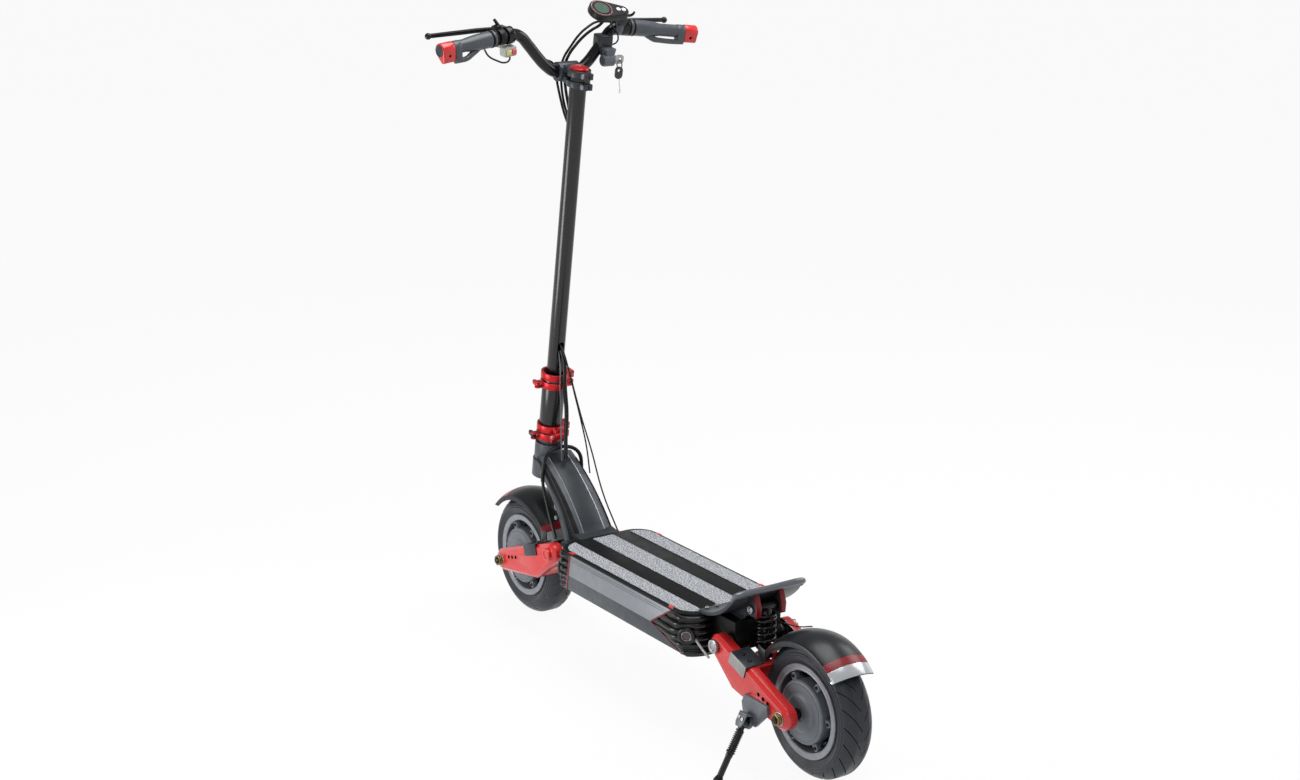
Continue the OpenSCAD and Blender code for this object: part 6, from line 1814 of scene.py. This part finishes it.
barCables = {
    "left_brake_cable": (2.5, [
        (83, 129.5, 1261.5), (84, 113, 1260), (80, 100, 1253), (71, 78, 1230), (68, 56, 1211),
        (68, 36, 1199), (70, 18, 1190), (71, 10, 1172), (60, 9, 1148), (42, 10, 1122), (26, 10, 1100),
        (10, 7, 1078)]),
    "right_brake_cable": (2.5, [
        (83, -128.2, 1261.5), (85, -106, 1263), (81, -82, 1264), (78, -62, 1256), (76, -44, 1244),
        (72, -22, 1221), (69, -6, 1200), (70, -2, 1178), (61, 0, 1150), (44, 3, 1122), (28, 3, 1100),
        (10, 1, 1076)]),
    "display_lead": (3, [
        (54, -86, 1291), (62, -90, 1276), (68, -84, 1262), (71, -68, 1252), (71, -50, 1240),
        (69, -30, 1222), (68, -16, 1204), (70, -10, 1178), (60, -8, 1150), (42, -6, 1118),
        (26, -5, 1094), (10, -5, 1070)]),
    "key_wire": (1.6, [
        (38, -84, 1287), (37, -89, 1272), (34, -99, 1259), (33, -106, 1246), (36, -106, 1234),
        (41, -100, 1228)]),
    "switch_wire": (1.8, [
        (44, 190, 1236), (38, 184, 1225), (33, 168, 1216), (32, 150, 1211), (37, 137, 1215),
        (43, 134, 1222)]),
}
for name, (radius, route) in barCables.items():
    piece = tubeAlong(route, radius)
    keep(piece, name, steerFrame, "stem", finishes["cableBlack"], ("handlebar_cables",))

# Cables from the stem's slot to the neck and the deck, split where the fold turns

stemCables = {
    "loom": (4.5, "cableBlack", [
        (-14, -2, 608), (-25, -3, 592), (-33, -2, 572), (-36, -2, 548), (-38, -6, 516), (-42, -9, 484),
        (-48, -8, 452), (-54, -5, 424), (-60, -4, 400), (-64, -4, 382)]),
    "silver_cable": (1.4, "cableSilver", [
        (-12, 3, 606), (-22, 5, 592), (-31, 7, 572), (-36, 7, 530), (-40, 4, 496), (-46, 4, 460),
        (-53, 5, 424), (-60, 6, 398), (-64, 6, 380)]),
    "short_wire": (1.6, "cableBlack", [
        (-12, -3, 616), (-24, -6, 598), (-33, -12, 570), (-46, -24, 516), (-58, -35, 466),
        (-74, -45, 408), (-88, -50, 352)]),
    "long_wire": (1.6, "cableBlack", [
        (-12, 1, 622), (-25, -1, 606), (-38, -9, 572), (-49, -24, 516), (-64, -36, 464),
        (-92, -44, 412), (-143, -50, 330), (-204, -54, 270)]),
}
foldSizes = {
    "height": 423,
    "reach": 70,  # how far above and below the fold the ends of a cable's parts are given
    "line": -50,  # where these ends are given, behind the stem
}


def makeStemCable(name, radius, finish, route, sizes):
    whole = tubeAlong(route, radius)
    fold, line = sizes["height"], sizes["line"]
    foot = max(min(point[2] for point in route), fold - sizes["reach"])
    for part, pair, start, end in (("upper", ("fork", "stem"), fold, fold + sizes["reach"]),
                                   ("lower", ("chassis", "fork"), foot, fold)):
        piece = copyPiece(whole)
        sliceOff(piece, fold, dropsAbove=part == "lower")
        keep(piece, name + "_" + part, steerFrame, pair, finishes[finish], ("stem_cables",),
             40, ends=((line, 0, start), (line, 0, end)))
    bpy.data.objects.remove(whole)


for name, (radius, finish, route) in stemCables.items():
    makeStemCable(name, radius, finish, route, foldSizes)

archRoute = [(-60, 47, 338), (-59, 47, 360), (-55, 42, 384), (-50, 28, 398), (-48, 10, 403), (-48, -12, 402),
             (-50, -30, 396), (-54, -43, 382), (-58, -47, 360), (-59, -47, 342)]
archRadius = 4
keep(tubeAlong(archRoute, archRadius, 5), "arch_cable", steerFrame, "chassis", finishes["cableBlack"],
     ("stem_cables",))

# Leads of the two hub motors and a wire to the rear mudguard, in the part's own frame

motorLeads = {
    "front_motor_lead": (("chassis", "fork"), 3.4, "cableBlack", [
        (382, 47, 327), (376, 49, 314), (362, 52, 294), (340, 56, 262), (313, 58, 222)]),
    "rear_motor_lead": ("chassis", 2.4, "tabGrey", [
        (-232, 88, 190), (-246, 89, 184), (-262, 89, 176), (-275, 88, 169)]),
    "rear_guard_wire": (("chassis", "rear_arm"), 1.2, "cableBlack", [
        (-336, -22, 238), (-362, -22, 241), (-400, -22, 248), (-440, -21, 262)]),
}
for name, (body, radius, finish, route) in motorLeads.items():
    keep(tubeAlong(route, radius), name, wholeFrame, body, finishes[finish],
         ends=(route[0], route[-1]))
print("cables made")
